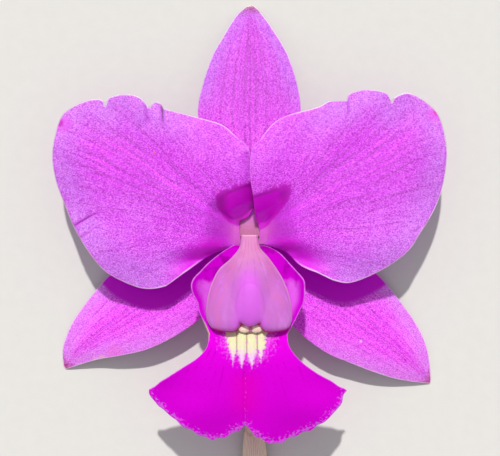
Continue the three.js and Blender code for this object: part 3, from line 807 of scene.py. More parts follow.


@dataclass(frozen=True)
class PetalSkin(Skin):
    """Epidermis of a cattleya's petal or sepal: a pigmented skin of tiny domed cells over veins.

    Each cell is a little brighter or darker, and paler, than the next: random tone with painted glints,
    so the skin sparkles. Warm and cool streaks, partly painted sheen, and fine darker veins fan out
    along the blade. The margin is thin, cool and pale, with a painted highlight along its edge. Shade
    is painted as a deep, pure colour where another segment casts its shadow, in folds, along the
    lower margin and on the pocket's walls.
    """

    roughness: float = 0.6
    roughness_change: float = 0.1  # from cell to cell
    flesh: float = 0.9
    depth: Triple = (1.3, 0.1, 1.0)
    blemishes: tuple[Blemish, ...] = ()

    # pigment
    body: str = "#D442E3"
    lavender: str = "#D86CEC"
    deep: str = "#C838DC"
    cloud_grain: Grain = Grain(14, 3, 0.55)
    cloud_fading: Step = (0.35, 0.62, 1, 0.35)
    cloud_deepening: Step = (0.5, 0.7, 0, 0.25)
    middle: Step = (0.06, 0.28, 1, 0)  # the full pigment beside the midvein
    outer: Step = (0.35, 0.6, 0, 1)  # the paler skin starts this far along the blade
    from_axis: Step = (9, 26, 0.2, 1)  # and on the petals this far from the flower's axis
    cool: str = "#C87AE4"
    edge_band: float = 12.0
    edge_waver: float = 2.0
    cool_share: float = 0.85
    # painted light: a paler colour towards the foot, where its share is set, against the shade of the
    # blade's slope
    base: str = "#F66AFF"
    base_light_share: float = 0.0
    base_light_reach: Span = (0.3, 0.65)

    # streaks, partly pigment and partly painted sheen
    streaks: float = 75.0
    streak_turns: float = 1.6  # how often a streak changes along the blade
    streak_levels: Span = (0.3, 0.7)
    streak_contrast: Span = (0.1, 0.24)  # at the margins, and beside the midvein

    # veins
    vein: str = "#A804B4"
    midvein: float = 0.5
    widths: Span = (6.0, 140.0)  # mm across the foot and the far margin
    wander_grain: Grain = Grain(9)
    wander: float = 0.035
    vein_ranks: tuple[tuple[int, float], ...] = ((15, -1.0), (30, 0.2), (60, 0.45))  # count, start
    vein_fade_in: float = 0.2
    vein_core: float = 0.08
    vein_width: float = 0.34
    vein_thinning: float = 0.05  # from rank to rank
    vein_paling: float = 0.2
    vein_patches: Grain = Grain(5)
    vein_patch_levels: Span = (0.38, 0.62)
    vein_shares: Span = (0.18, 0.62)
    vein_margin: Step = (1, 7, 0.3, 1)
    vein_foot: Step = (0.08, 0.25, 0, 1)
    rib: float = 0.25
    rib_width: Span = (0.08, 0.3)

    # foot and tip
    foot: tuple[str, str] = ("#D060C8", "#D060C8")  # the pale foot, and the shade at the hub
    foot_end: float = 0.16
    foot_share: float = 0.95
    hub_shade: Step = (0.02, 0.09, 0.9, 0)
    tip: tuple[str, str] = ("#C9489A", "#E86BEF")  # the streak below the tip, and the tip
    tip_start: float = 2.0
    tip_ragged: float = 0.06
    tip_grain: Grain = Grain(0.9)
    tip_steps: tuple[Step, Step] = ((0, 0.06, 0, 0.8), (0.055, 0.08, 0, 0.9))  # from its start

    # cells
    cell: float = 0.17  # mm; real ones are an eighth of this, drawn coarse enough to show
    cell_stretch: float = 1.25
    grain_turn: float = 0.0  # degrees from across the flower to the way that the cells are drawn out
    grain_reach: Step = (0.08, 0.3, 0.15, 1)
    glint: float = 0.24  # how much brighter or darker one cell is than the next, partly painted glints
    sparkle: float = 0.24  # how much paler: painted glints
    dome: float = 1.1  # a raised cell's size, in cells
    relief: float = 0.08  # mm
    relief_reach: Step = (0.12, 0.3, 0.15, 1)
    relief_pure: float = 0.1  # how much of it the shaded skin keeps
    vein_sink: float = -0.5

    # margin with its painted highlight, and painted shade along the lower margin and in the pocket
    rim: str = "#FBE4FA"
    rim_line: Step = (0.1, 0.4, 0.75, 0)
    rim_reach: Step = (0.45, 0.8, 0, 1)
    rim_axis: Step = (2, 6, 0.3, 1)
    flush_and_shade: str = "#D400D8"
    hem_step: Step = (3.5, 9, 0.95, 0)
    hem_waver: float = 2.4
    hem_grain: Grain = Grain(1.5, 3)
    hem_start: Step = (5.5, 9, 0, 1)  # from the flower's axis
    hem_end: Step = (16, 25, 1, 0)
    hem_top: Step = (-2, 1, 1, 0)
    pocket: Pocket | None = None
    # painted shade: a deep colour where the pocket lies in its own shade and where another segment shades
    # the skin, a darker fringe just below that shade, and the other petal's shadow along the margin
    painted_shade: str = "#FF00F8"
    painted_shade_fringe: str = "#C800C8"
    painted_margin_shadow: str = "#8A0088"
    margin_shadow_span: Span = (0.2, 2.2)
    pocket_grain: Grain = Grain(1.4, 4, 0.8)
    pocket_ragged: Step = (1, 3.5, 1, 5.5)
    pocket_top: float = 12.7
    pocket_fade: Step = (-0.2, 0.5, 1, 0)
    pocket_rise: Span = (1.2, -2.05)  # how its lower border climbs: slope, and height at the axis
    pocket_round: Span = (3, 2)  # how softly its borders meet
    floor_top: Step = (11.2, 12.2, 1, 0)
    floor_low: Step = (0.4, 1.2, 0, 1)
    floor_side: Step = (-3.5, -1.5, 1, 0)

    def paint(self) -> dict[str, Socket]:
        """Lay pigment, veins, grain with painted glints, painted shade and highlights, and every local
        tint, and raise the cells.

        Returns:
            What feeds the shader, with the skin's height.
        """
        g = self.ground
        wander = g.add("TexNoise", self.wander_grain.on(g.place))
        bent = g.add("Math.MULTIPLY_ADD", [wander, self.wander, g.across])
        bent = g.add("Math.SUBTRACT", [bent, 0.5 * self.wander])
        veins = self.veining(bent)
        colour, spark = self.grained(g.coated(self.pigment(bent), (self.vein, veins), *self.ends()))

        # Painted shade: the folds get the vein colour, and where another segment casts its shadow, and on
        # the pocket's shaded walls, the skin gets the deep shade colour
        pure = g.add("Attribute", out="Fac", attribute_name="petal_shadow")
        fold = g.add("Attribute", out="Fac", attribute_name="fold")
        colour = g.coated(colour, (self.vein, fold), (self.painted_shade, pure))
        masks = [g.add("MapRange", [g.along, *self.rim_reach])]
        if self.pocket:
            wall, shaded = self.pocket_shade_marks()
            pure = g.add("Math.MAXIMUM", [pure, wall])
            painted_shade = g.coated(self.painted_shade_fringe, (self.painted_shade, shaded),
                              (self.painted_margin_shadow, g.edge, *self.margin_shadow_span, self.pocket.hem_shade, 0))
            colour = g.coated(colour, self.hem_shade(), (painted_shade, wall))
            masks.append(g.share(g.beside(g.x, 0), *self.rim_axis))
        # the thin pale line along the margin is a painted highlight of the sunlit edge
        colour = g.coated(colour, *self.spots(), (self.rim, g.edge, *self.rim_line, *masks))
        dull, change = self.roughness, self.roughness_change
        gloss = g.add("MapRange", [spark, 0, 1, dull - change, dull + change])
        return {"Base Color": colour, "Roughness": gloss, "Height": self.raised(veins, pure)}

    def pigment(self, bent: Socket) -> Socket:
        """Lay the pigment: soft clouds, streaks along the blade that are partly painted sheen, a cool band
        at the margin, and, where its share is set, painted light that pales the skin towards the foot.

        Args:
            bent: Place across the blade, wandering a little.

        Returns:
            The colour.
        """
        g = self.ground
        cloud = g.add("TexNoise", self.cloud_grain.on(g.place))
        middle = g.share(g.beside(bent, self.midvein), *self.middle)
        masks = [g.add("MapRange", [g.along, *self.outer])]
        if self.pocket:
            masks.append(g.share(g.beside(g.x, 0), *self.from_axis))
        faded = g.add("Math.SUBTRACT", [1, middle])
        for share in (g.add("MapRange", [cloud, *self.cloud_fading]), *masks):
            faded = g.add("Math.MULTIPLY", [faded, share])
        cloudy = g.add("MapRange", [cloud, *self.cloud_deepening])
        colour = g.coated(self.body, (self.lavender, faded), (self.deep, cloudy))
        lane = g.add("Math.MULTIPLY", [bent, self.streaks])
        lanes = g.add("CombineXYZ", [lane, g.add("Math.MULTIPLY", [g.along, self.streak_turns])])
        streak = g.add("TexNoise", {"Vector": lanes, "Scale": 1, "Detail": 3, "Roughness": 0.6})
        gleam = g.add("MapRange", [streak, *self.streak_levels, -1, 1])
        contrast = g.add("MapRange", [middle, 0, 1, *self.streak_contrast])
        gleam = g.add("Math.MULTIPLY_ADD", [gleam, contrast, 1])
        colour = g.add("VectorMath.MULTIPLY", [colour, gleam])
        waver = g.add("MapRange", [streak, *self.streak_levels, self.edge_waver, -self.edge_waver])
        inward = g.add("Math.ADD", [g.edge, waver])
        return g.coated(colour, (self.cool, inward, 0, self.edge_band, self.cool_share, 0, *masks),
                        (self.base, g.along, *self.base_light_reach, self.base_light_share, 0))

    def veining(self, bent: Socket) -> Socket:
        """Draw the veins, evenly spread across the blade, each rank finer and starting further out.

        Args:
            bent: Place across the blade, wandering a little.

        Returns:
            How strongly a vein shows, from 0 to 1.
        """
        g = self.ground
        width = g.add("MapRange", [g.along, 0, 1, *self.widths])
        veins = 0.0
        for rank, (count, start) in enumerate(self.vein_ranks):
            gap = g.add("Math.MULTIPLY", [g.comb(bent, count), width])
            gap = g.add("Math.DIVIDE", [gap, count])
            shown = g.add("MapRange", [g.along, start, start + self.vein_fade_in, 0, 1])
            half = self.vein_width - self.vein_thinning * rank
            line = g.share(gap, self.vein_core, half, 1 - self.vein_paling * rank, 0, shown)
            veins = g.add("Math.MAXIMUM", [veins, line])
        patchy = g.add("TexNoise", self.vein_patches.on(g.place))
        for share in (g.add("MapRange", [patchy, *self.vein_patch_levels, *self.vein_shares]),
                      g.add("MapRange", [g.edge, *self.vein_margin])):
            veins = g.add("Math.MULTIPLY", [veins, share])
        from_rib = g.add("Math.MULTIPLY", [g.beside(bent, self.midvein), width])
        veins = g.add("Math.MAXIMUM", [veins, g.share(from_rib, *self.rib_width, self.rib, 0)])
        return g.share(g.along, *self.vein_foot, veins)

    def ends(self) -> list[Coat]:
        """Thin the pigment out towards the hub, and turn it to the tip's own colours at the tip.

        Returns:
            The coats of both ends.
        """
        g = self.ground
        ragged = g.add("TexNoise", self.tip_grain.on(g.place))
        reach = g.add("Math.MULTIPLY_ADD", [ragged, self.tip_ragged, g.along])
        coats = [(self.foot[0], g.along, 0, self.foot_end, self.foot_share, 0),
                 (self.foot[1], g.along, *self.hub_shade)]
        for tint, (low, high, start, end) in zip(self.tip, self.tip_steps):
            coats.append((tint, reach, self.tip_start + low, self.tip_start + high, start, end))
        return coats

    def grained(self, colour: Socket) -> tuple[Socket, Socket]:
        """Give each cell its own brightness, from dull and deep to bright and pale, as random tone with
        painted glints.

        Args:
            colour: The skin's colour so far.

        Returns:
            The colour, cell by cell, and each cell's own number from 0 to 1.
        """
        g = self.ground
        drawn_out = g.add("Mapping", {"Vector": g.place, "Scale": (self.cell_stretch, 1, 1),
                                      "Rotation": (0, 0, math.radians(self.grain_turn))},
                          vector_type="TEXTURE")
        cells = g.add("TexVoronoi", {"Vector": drawn_out, "Scale": 1 / (self.cell * MM)}, "Color")
        spark = g.add("SeparateColor", [cells], "Red")
        grain = g.add("Math.SUBTRACT", [spark, 0.5])
        grain = g.add("Math.MULTIPLY", [grain, g.add("MapRange", [g.along, *self.grain_reach])])
        light = g.add("Math.MULTIPLY_ADD", [grain, self.glint, 1])
        pale = g.add("Math.MULTIPLY", [grain, self.sparkle])
        colour = g.add("VectorMath.MULTIPLY_ADD", [colour, light, pale])
        return g.add("VectorMath.MAXIMUM", [colour, (0, 0, 0)]), spark

    def raised(self, veins: Socket, pure: Socket) -> Socket:
        """Raise the cells and sink the veins.

        Args:
            veins: How strongly a vein shows.
            pure: Where the skin is shaded, and its relief calm.

        Returns:
            The skin's height.
        """
        g = self.ground
        domes = g.add("TexNoise", Grain(self.cell * self.dome).on(g.place))
        height = g.add("Math.MULTIPLY_ADD", [veins, self.vein_sink, domes])
        for share in (g.add("MapRange", [g.along, *self.relief_reach]),
                      g.add("MapRange", [pure, 0, 1, 1, self.relief_pure])):
            height = g.add("Math.MULTIPLY", [height, share])
        return height

    def spots(self) -> list[Coat]:
        """Lay the blade's own blemishes.

        Returns:
            A coat for each.
        """
        g, coats = self.ground, []
        flat = g.add("VectorMath.MULTIPLY", [g.place, (1, 1, 0)])
        for spot in self.blemishes:
            middle = (spot.x * MM, (spot.y + FACE_Y) * MM, 0)
            far = g.add("VectorMath.DISTANCE", [flat, middle], "Value")
            coats.append((spot.colour, far, spot.middle * spot.radius * MM, spot.radius * MM,
                          spot.share, 0))
        return coats

    def hem_shade(self) -> Coat:
        """Paint shade along the lower margin, beside the lip, as a deeper, purer colour.

        Returns:
            The coat of painted shade along the lower margin.
        """
        g = self.ground
        aside = g.beside(g.x, 0)
        uneven = g.add("TexNoise", self.hem_grain.on(g.place))
        inward = g.add("Math.MULTIPLY_ADD", [uneven, self.hem_waver, g.edge])
        masks = [g.add("MapRange", [place, *step]) for place, step in
                 ((aside, self.hem_start), (aside, self.hem_end), (g.y, self.hem_top))]
        return (self.flush_and_shade, inward, *self.hem_step, *masks)

    def pocket_shade_marks(self) -> tuple[Socket, Socket]:
        """Mark where shade is painted on the walls of the pocket above the hub.

        Returns:
            1 on the walls, fading to 0 round them, and 1 where the pocket lies in its own shade.
        """
        g, pocket = self.ground, self.pocket
        aside = g.beside(g.x, 0)
        climb = g.add("Math.MULTIPLY_ADD", [g.x, -POCKET_SLANT, g.y])
        level = g.add("Math.ADD", [climb, POCKET_SLANT * pocket.x])
        border = g.add("Math.MULTIPLY_ADD", [aside, *self.pocket_rise])
        border = g.add("Math.SMOOTH_MAX", [border, pocket.low, self.pocket_round[0]])
        depth = g.add("Math.SUBTRACT", [g.y, border])
        uneven = g.add("TexNoise", self.pocket_grain.on(g.place))
        uneven = g.add("Math.SUBTRACT", [uneven, 0.5])
        uneven = g.add("Math.MULTIPLY", [uneven, g.add("MapRange", [depth, *self.pocket_ragged])])
        beyond = g.add("Math.SUBTRACT", [aside, pocket.reach])
        over = g.add("Math.SUBTRACT", [level, self.pocket_top])
        under = g.add("Math.SUBTRACT", [-1, depth])
        outside = g.add("Math.SMOOTH_MAX", [over, under, self.pocket_round[0]])
        outside = g.add("Math.SMOOTH_MAX", [outside, beyond, self.pocket_round[1]])
        outside = g.add("Math.ADD", [outside, uneven])
        inner = g.add("MapRange", [beyond, *self.floor_side])
        low = g.share(depth, *self.floor_low, inner)
        return g.share(outside, *self.pocket_fade), g.share(level, *self.floor_top, low)


@dataclass(frozen=True)
class Tongue:
    """One pointed cream tongue of the lip's disc."""

    x: float
    half_width: float
    end: float


@dataclass(frozen=True)
class LipSkin(Skin):
    """Epidermis of the lip: velvet cells full of deep pigment, over a cream disc.

    The velvet has next to no gloss, so its colour stays pure. The front margin is thin, mottled
    and paler, the side lobes fade inside, and the disc ends in pointed tongues between veins.
    """

    body: str = "#D800D6"
    soft_grain: Grain = Grain(3, 3)
    speck_grain: Grain = Grain(0.7)

    # side lobes, above the waist
    lobe: str = "#C200C6"
    lobe_start: Step = (-25, -22, 0, 1)
    lobe_pale: str = "#DA64E2"
    lobe_fade: Step = (0.6, 2.6, 0, 0.85)
    lobe_top: Step = (-10.5, -8.6, 1, 0)
    lobe_waver: float = 5.0

    # veins, which fan from a point above the disc
    vein: str = "#BE00B6"
    fan_y: float = 4.0
    vein_pitch: float = 34.0
    vein_line: Step = (0.05, 0.45, 0.6, 0)
    vein_breaks: Step = (0.5, 0.62, 0, 1)
    vein_reach: Step = (-44, -31, 0.12, 1)
    vein_waver: float = 0.02

    # the front lobe's middle, whose furrow catches light in small dots
    centre: str = "#DE00C2"
    glow: str = "#DC64DC"
    furrow_x: float = -1.1
    centre_step: Step = (0, 6.5, 0.9, 0)
    centre_top: Step = (-37, -34, 1, 0)
    centre_low: Step = (-49, -44, 0, 1)
    dot_step: Step = (-1.9, -1.6, 0.3, 0)
    dot_reach: float = -3.0

    # pale specks round the disc
    halo_middle: Point = (-0.55, -25.6)
    halo_size: Point = (7.3, 7.6)
    halo_ragged: float = -2.4
    halo_step: Step = (-0.9, 0.05, 0.85, 0)

    # disc
    cream: str = "#DEDCB4"
    halo: str = "#ECC4EA"
    disc_vein: str = "#A08C62"
    disc_top: float = -22.0
    disc_fade: float = 2.0
    cream_end: Step = (-29.2, -25.6, 0, 1)
    cream_waver: float = 5.0
    disc_veins: tuple[float, ...] = (-3.33, -0.73, 2.03)
    disc_vein_line: Step = (0.02, 0.2, 1, 0)
    disc_vein_reach: Step = (-33, -29, 0, 0.8)
    disc_vein_waver: float = -0.12
    tongues: tuple[Tongue, ...] = (
        Tongue(-5.5, 0.8, -30.2), Tongue(-4.3, 1.2, -33.8), Tongue(-2.0, 1.4, -34.6),
        Tongue(0.6, 1.45, -34.8), Tongue(2.95, 1.2, -33.2), Tongue(4.1, 0.7, -29.4))
    tongue_taper: Span = (-1, 5.5)  # from a tongue's end
    tongue_point: float = -0.5
    tongue_edge: Step = (-0.35, 0.4, 0, 1)
    jitter: Step = (0.3, 0.7, -0.5, 0.5)
    jitter_reach: Step = (-32, -27, 0.5, 1)
    jitter_share: float = 0.8

    # margins
    rim: str = "#CC6CE0"
    rim_step: Step = (3.6, 4.8, 0.8, 0)
    rim_widths: Step = (-42, -37.5, 1, 0.3)
    rim_ragged: float = 7.0
    rim_line: str = "#F0A8F6"
    rim_line_step: Step = (0, 0.22, 0.8, 0)
    isthmus_edge: str = "#B0A878"
    isthmus_line: Step = (0.2, 0.45, 1, 0)
    isthmus_y: float = -24.5
    isthmus_reach: Step = (1, 3.2, 0.9, 0)
    isthmus_left: Step = (-6, -4, 1, 0)

    # relief
    velvet_grain: Grain = Grain(0.5)
    relief: float = 0.06
    vein_sink: float = -2.0
    tongue_rise: float = 1.5

    @cached_property
    def soft(self) -> Socket:
        """A soft noise."""
        return self.ground.add("TexNoise", self.soft_grain.on(self.ground.place))

    @cached_property
    def speck(self) -> Socket:
        """A fine noise."""
        return self.ground.add("TexNoise", self.speck_grain.on(self.ground.place))

    def paint(self) -> dict[str, Socket]:
        """Lay the lobes, the veins, the furrow, the disc and the margins, and raise the velvet.

        Returns:
            What feeds the shader, with the skin's height.
        """
        g = self.ground
        veins, tongues = self.veining(), self.tongue_marks()
        colour = g.coated(self.body, *self.lobes(), (self.vein, veins), *self.furrow(),
                          self.glowing(), *self.disc(tongues), *self.margins())
        velvet = g.add("TexNoise", self.velvet_grain.on(g.place))
        height = g.add("Math.MULTIPLY_ADD", [veins, self.vein_sink, velvet])
        height = g.add("Math.MULTIPLY_ADD", [tongues, self.tongue_rise, height])
        return {"Base Color": colour, "Height": height}

    def lobes(self) -> list[Coat]:
        """Lay the side lobes' pigment, which fades inside them.

        Returns:
            The coats.
        """
        g = self.ground
        lobes = g.share(g.y, *self.lobe_start)
        wavy = g.add("Math.MULTIPLY_ADD", [self.soft, self.lobe_waver, g.y])
        upper = g.share(wavy, *self.lobe_top, lobes)
        return [(self.lobe, lobes), (self.lobe_pale, g.edge, *self.lobe_fade, upper)]

    def veining(self) -> Socket:
        """Draw the faint darker veins that fan from the disc over the front lobe.

        Returns:
            How strongly a vein shows, from 0 to 1.
        """
        g = self.ground
        fan = g.add("Math.DIVIDE", [g.x, g.add("Math.ADD", [g.y, self.fan_y])])
        bent = g.add("Math.MULTIPLY_ADD", [self.soft, self.vein_waver, fan])
        broken = g.add("MapRange", [self.soft, *self.vein_breaks])
        near = g.share(g.y, *self.vein_reach, broken)
        return g.share(g.comb(bent, self.vein_pitch), *self.vein_line, near)

    def furrow(self) -> list[Coat]:
        """Redden the middle of the front lobe, and dot its furrow with painted highlights.

        Returns:
            The coats.
        """
        g = self.ground
        beside = g.beside(g.x, self.furrow_x)
        low = g.add("MapRange", [g.y, *self.centre_top])
        above = g.add("MapRange", [g.y, *self.centre_low])
        dotted = g.add("Math.MULTIPLY_ADD", [self.speck, self.dot_reach, beside])
        return [(self.centre, beside, *self.centre_step, low, above),
                (self.glow, dotted, *self.dot_step, low)]

    def glowing(self) -> Coat:
        """Mottle the ground round the disc with pale specks that thin out.

        Returns:
            The coat.
        """
        g, out = self.ground, 0.0
        for place, middle, radius in zip((g.x, g.y), self.halo_middle, self.halo_size):
            far = g.add("Math.DIVIDE", [g.beside(place, middle), radius])
            out = g.add("Math.ADD", [out, g.add("Math.POWER", [far, 2])])
        out = g.add("Math.MULTIPLY_ADD", [self.speck, self.halo_ragged, out])
        return (self.glow, out, *self.halo_step)

    def tongue_marks(self) -> Socket:
        """Mark the disc's pointed tongues.

        Returns:
            1 on the tongues and 0 elsewhere, with a ragged border.
        """
        g, marks = self.ground, 0.0
        jitter = g.add("MapRange", [self.speck, *self.jitter])
        jitter = g.add("Math.MULTIPLY", [jitter, g.add("MapRange", [g.y, *self.jitter_reach])])
        for tongue in self.tongues:
            low, high = (tongue.end + far for far in self.tongue_taper)
            taper = g.add("MapRange", [g.y, low, high, self.tongue_point, tongue.half_width])
            within = g.add("Math.SUBTRACT", [taper, g.beside(g.x, tongue.x)])
            within = g.add("Math.MULTIPLY_ADD", [jitter, self.jitter_share, within])
            marks = g.add("Math.MAXIMUM", [marks, g.share(within, *self.tongue_edge)])
        top = self.disc_top
        return g.add("Math.MULTIPLY", [marks, g.add("MapRange", [g.y, top, top + self.disc_fade, 1, 0])])

    def disc(self, tongues: Socket) -> list[Coat]:
        """Colour the disc: cream above, rosy white in its tongues, with thin brownish veins.

        Args:
            tongues: Where the tongues are.

        Returns:
            The coats.
        """
        g = self.ground
        wavering = g.add("Math.MULTIPLY_ADD", [self.speck, self.cream_waver, g.y])
        coats = [(g.coated(self.halo, (self.cream, wavering, *self.cream_end)), tongues)]
        upper = g.add("MapRange", [g.y, *self.disc_vein_reach])
        for vein in self.disc_veins:
            beside = g.add("Math.MULTIPLY_ADD", [self.speck, self.disc_vein_waver, g.beside(g.x, vein)])
            coats.append((self.disc_vein, beside, *self.disc_vein_line, upper, tongues))
        return coats

    def margins(self) -> list[Coat]:
        """Pale the margins: a broken band along the front, a thin line round the side lobes.

        Returns:
            The coats.
        """
        g = self.ground
        ragged = g.add("Math.MULTIPLY_ADD", [self.speck, self.rim_ragged, g.edge])
        ragged = g.add("Math.DIVIDE", [ragged, g.add("MapRange", [g.y, *self.rim_widths])])
        waist = g.add("MapRange", [g.beside(g.y, self.isthmus_y), *self.isthmus_reach])
        left = g.add("MapRange", [g.x, *self.isthmus_left])
        return [(self.rim, ragged, *self.rim_step),
                (self.rim_line, g.edge, *self.rim_line_step, self.speck),
                (self.isthmus_edge, g.edge, *self.isthmus_line, waist, left)]


@dataclass(frozen=True)
class ColumnSkin(Skin):
    """Waxy flesh of the column: thick, pale and translucent, so its shading is soft.

    The neck is palest, with fine veins; the middle ridge is flushed; the rims are yellowish, with a
    painted highlight along the foot's edge; a dark line of painted shade runs along the lower edge and
    under the nose.
    """

    cloud_grain: Grain = Grain(2.5, 3)
    neck: str = "#CE84B6"
    flank: str = "#C06AC4"
    flank_step: Step = (0.2, 0.75, 0, 1)
    flank_waver: float = 0.3
    blush: str = "#CC6CAE"
    blush_step: Step = (0.45, 0.65, 0, 0.5)
    bloom: str = "#D88CE0"
    bloom_step: Step = (0.3, 0.5, 0.35, 0)
    streak_grain: Grain = Grain(2.2, 5)
    streak_stretch: float = 0.35
    outer: Step = (0.3, 0.6, 0, 1)
    ridge: str = "#D260DC"
    ridge_step: Step = (0.25, 0.6, 1, 0)
    ridge_waver: float = 0.25
    ridge_reach: Step = (0.25, 0.6, 0, 0.9)

    # fine veins run down the neck and fade on the lobes
    vein: str = "#A65490"
    veins: float = 13.0
    vein_waver: float = 0.03
    vein_line: Step = (0.04, 0.3, 0.35, 0)
    vein_breaks: Step = (0.42, 0.6, 0.2, 1)
    vein_reach: Step = (0.3, 0.75, 1, 0.15)
    vein_sink: float = -1.5

    rim: str = "#E8B8C8"
    rim_step: Step = (0.2, 0.5, 0.5, 0)
    rim_reach: Step = (0.8, 0.97, 1, 0.3)
    collar_highlight: Step = (0.006, 0.016, 0.6, 0)
    lower_edge_shade: str = "#B8086C"
    wax_grain: Grain = Grain(0.6)

    def paint(self) -> dict[str, Socket]:
        """Lay neck, flanks, ridge, veins and rims, with a painted highlight at the foot's edge and painted
        shade along the lower edge, and raise the wax.

        Returns:
            What feeds the shader, with the skin's height.
        """
        g = self.ground
        side = g.add("Math.MULTIPLY", [g.beside(g.across, 0.5), 2])
        cloud = g.add("TexNoise", self.cloud_grain.on(g.place))
        lower = g.add("Math.MULTIPLY_ADD", [cloud, self.flank_waver, g.along])
        rough_side = g.add("Math.MULTIPLY_ADD", [cloud, self.ridge_waver, side])
        body = g.share(g.along, *self.ridge_reach)
        bent = g.add("Math.MULTIPLY_ADD", [cloud, self.vein_waver, g.across])
        lines = g.share(g.comb(bent, self.veins), *self.vein_line,
                        g.add("MapRange", [cloud, *self.vein_breaks]),
                        g.add("MapRange", [g.along, *self.vein_reach]))
        rim = g.share(g.edge, *self.rim_step, g.add("MapRange", [g.along, *self.rim_reach]))
        # a painted highlight along the foot's edge
        rim = g.add("Math.MAXIMUM", [rim, g.add("MapRange", [g.along, *self.collar_highlight])])
        drawn = g.add("Mapping", {"Vector": g.place, "Scale": (1, self.streak_stretch, 1)})
        streak = g.add("TexNoise", self.streak_grain.on(drawn))
        outer = g.share(side, *self.outer)
        lower_edge_shade = g.add("Attribute", out="Fac", attribute_name="lower_edge_shade")
        colour = g.coated(self.neck, (self.flank, lower, *self.flank_step),
                          (self.blush, streak, *self.blush_step, outer),
                          (self.bloom, streak, *self.bloom_step, outer),
                          (self.ridge, rough_side, *self.ridge_step, body), (self.vein, lines),
                          (self.rim, rim), (self.lower_edge_shade, lower_edge_shade))
        wax = g.add("TexNoise", self.wax_grain.on(g.place))
        height = g.add("Math.MULTIPLY_ADD", [lines, self.vein_sink, wax])
        return {"Base Color": colour, "Height": height}


@dataclass(frozen=True)
class WaxSkin(Skin):
    """Plain wax of the anther cap and the pollen masses, lightly mottled and dimpled."""

    light: str = "#F2E0CC"
    dark: str = "#E6BCB0"
    mottle: Step = (0.4, 0.65, 0, 1)
    seam: str = "#C65C9A"
    seam_x: float | None = None  # where a flushed seam runs down the piece, if it has one
    seam_step: Step = (0.3, 0.7, 0.9, 0)
    grain: Grain = Grain(0.5, 3)

    def paint(self) -> dict[str, Socket]:
        """Lay the mottled wax and its seam, and dimple it.

        Returns:
            What feeds the shader, with the skin's height.
        """
        g = self.ground
        cloud = g.add("TexNoise", self.grain.on(g.place))
        colour = g.coated(self.light, (self.dark, g.add("MapRange", [cloud, *self.mottle])))
        if self.seam_x is not None:
            colour = g.coated(colour, (self.seam, g.beside(g.x, self.seam_x), *self.seam_step))
        return {"Base Color": colour, "Height": cloud}


@dataclass(frozen=True)
class StalkSkin(Skin):
    """Smooth green rind of ovary, pedicel and stem, flushed red-brown where the sun reached it.

    Fine pale lines run along it, and small corky dots are scattered over it.
    """

    roughness: float = 0.5
    flesh: float = 0.2
    green: str = "#7C8F4C"
    flush_and_shade: str = "#7A3A2E"
    flush_share: float = 0.5
    flush_levels: Span = (0.62, 0.3)  # the cloud's level where a rind starts to flush: none, all
    flush_soft: float = 0.23
    cloud_grain: Grain = Grain(2, 4)
    cloud_stretch: float = 0.2
    line: str = "#A9B070"
    lines: float = 24.0
    line_step: Step = (0.05, 0.4, 0.4, 0)
    dot: str = "#8A6A45"
    dot_pitch: float = 1.3
    dot_step: Step = (0.1, 0.2, 0.7, 0)
    relief: float = 0.08

    def paint(self) -> dict[str, Socket]:
        """Lay the flush, the pale lines and the corky dots, and raise the lines.

        Returns:
            What feeds the shader, with the skin's height.
        """
        g = self.ground
        stretched = g.add("Mapping", {"Vector": g.place, "Scale": (1, self.cloud_stretch, 1)})
        cloud = g.add("TexNoise", self.cloud_grain.on(stretched))
        start = self.flush_levels[0] - self.flush_levels[1] * self.flush_share
        comb = g.share(g.comb(g.across, 2 * self.lines), *self.line_step)
        dots = g.add("TexVoronoi", {"Vector": g.place, "Scale": 1 / (self.dot_pitch * MM)}, "Distance")
        colour = g.coated(self.green, (self.flush_and_shade, cloud, start, start + self.flush_soft, 0, 1),
                          (self.line, comb), (self.dot, g.add("MapRange", [dots, *self.dot_step])))
        height = g.add("Math.MULTIPLY_ADD", [comb, 2, cloud])
        return {"Base Color": colour, "Height": height}


@dataclass(frozen=True)
class BractPaper(Skin):
    """Dead, papery bract: dry tan film with close fibres along it and darker blotches. Its colours are
    paler than the dry bract's own: painted light, as the lip shades it.
    """

    film: str = "#F4E0CC"
    fibre: str = "#E0BC9C"
    fibres: float = 40.0
    fibre_step: Step = (0.1, 0.6, 0.7, 0)
    fibre_waver: float = 0.05
    cloud_grain: Grain = Grain(0.6, 4)
    cloud_stretch: float = 0.12
    blotch: str = "#C8967A"
    blotch_grain: Grain = Grain(3, 3)
    blotch_step: Step = (0.55, 0.75, 0, 0.8)
    relief: float = 0.12

    def paint(self) -> dict[str, Socket]:
        """Lay film, fibres and blotches, and raise the fibres.

        Returns:
            What feeds the shader, with the skin's height.
        """
        g = self.ground
        stretched = g.add("Mapping", {"Vector": g.place, "Scale": (1, self.cloud_stretch, 1)})
        cloud = g.add("TexNoise", self.cloud_grain.on(stretched))
        bent = g.add("Math.MULTIPLY_ADD", [cloud, self.fibre_waver, g.across])
        comb = g.share(g.comb(bent, self.fibres), *self.fibre_step)
        stain_and_shade = g.add("TexNoise", self.blotch_grain.on(g.place))
        colour = g.coated(self.film, (self.fibre, comb),
                          (self.blotch, g.add("MapRange", [stain_and_shade, *self.blotch_step])))
        return {"Base Color": colour, "Height": g.add("Math.ADD", [comb, cloud])}


# ---- outlines of the blades, in mm in the flower's frame, seen with the dorsal sepal up ----

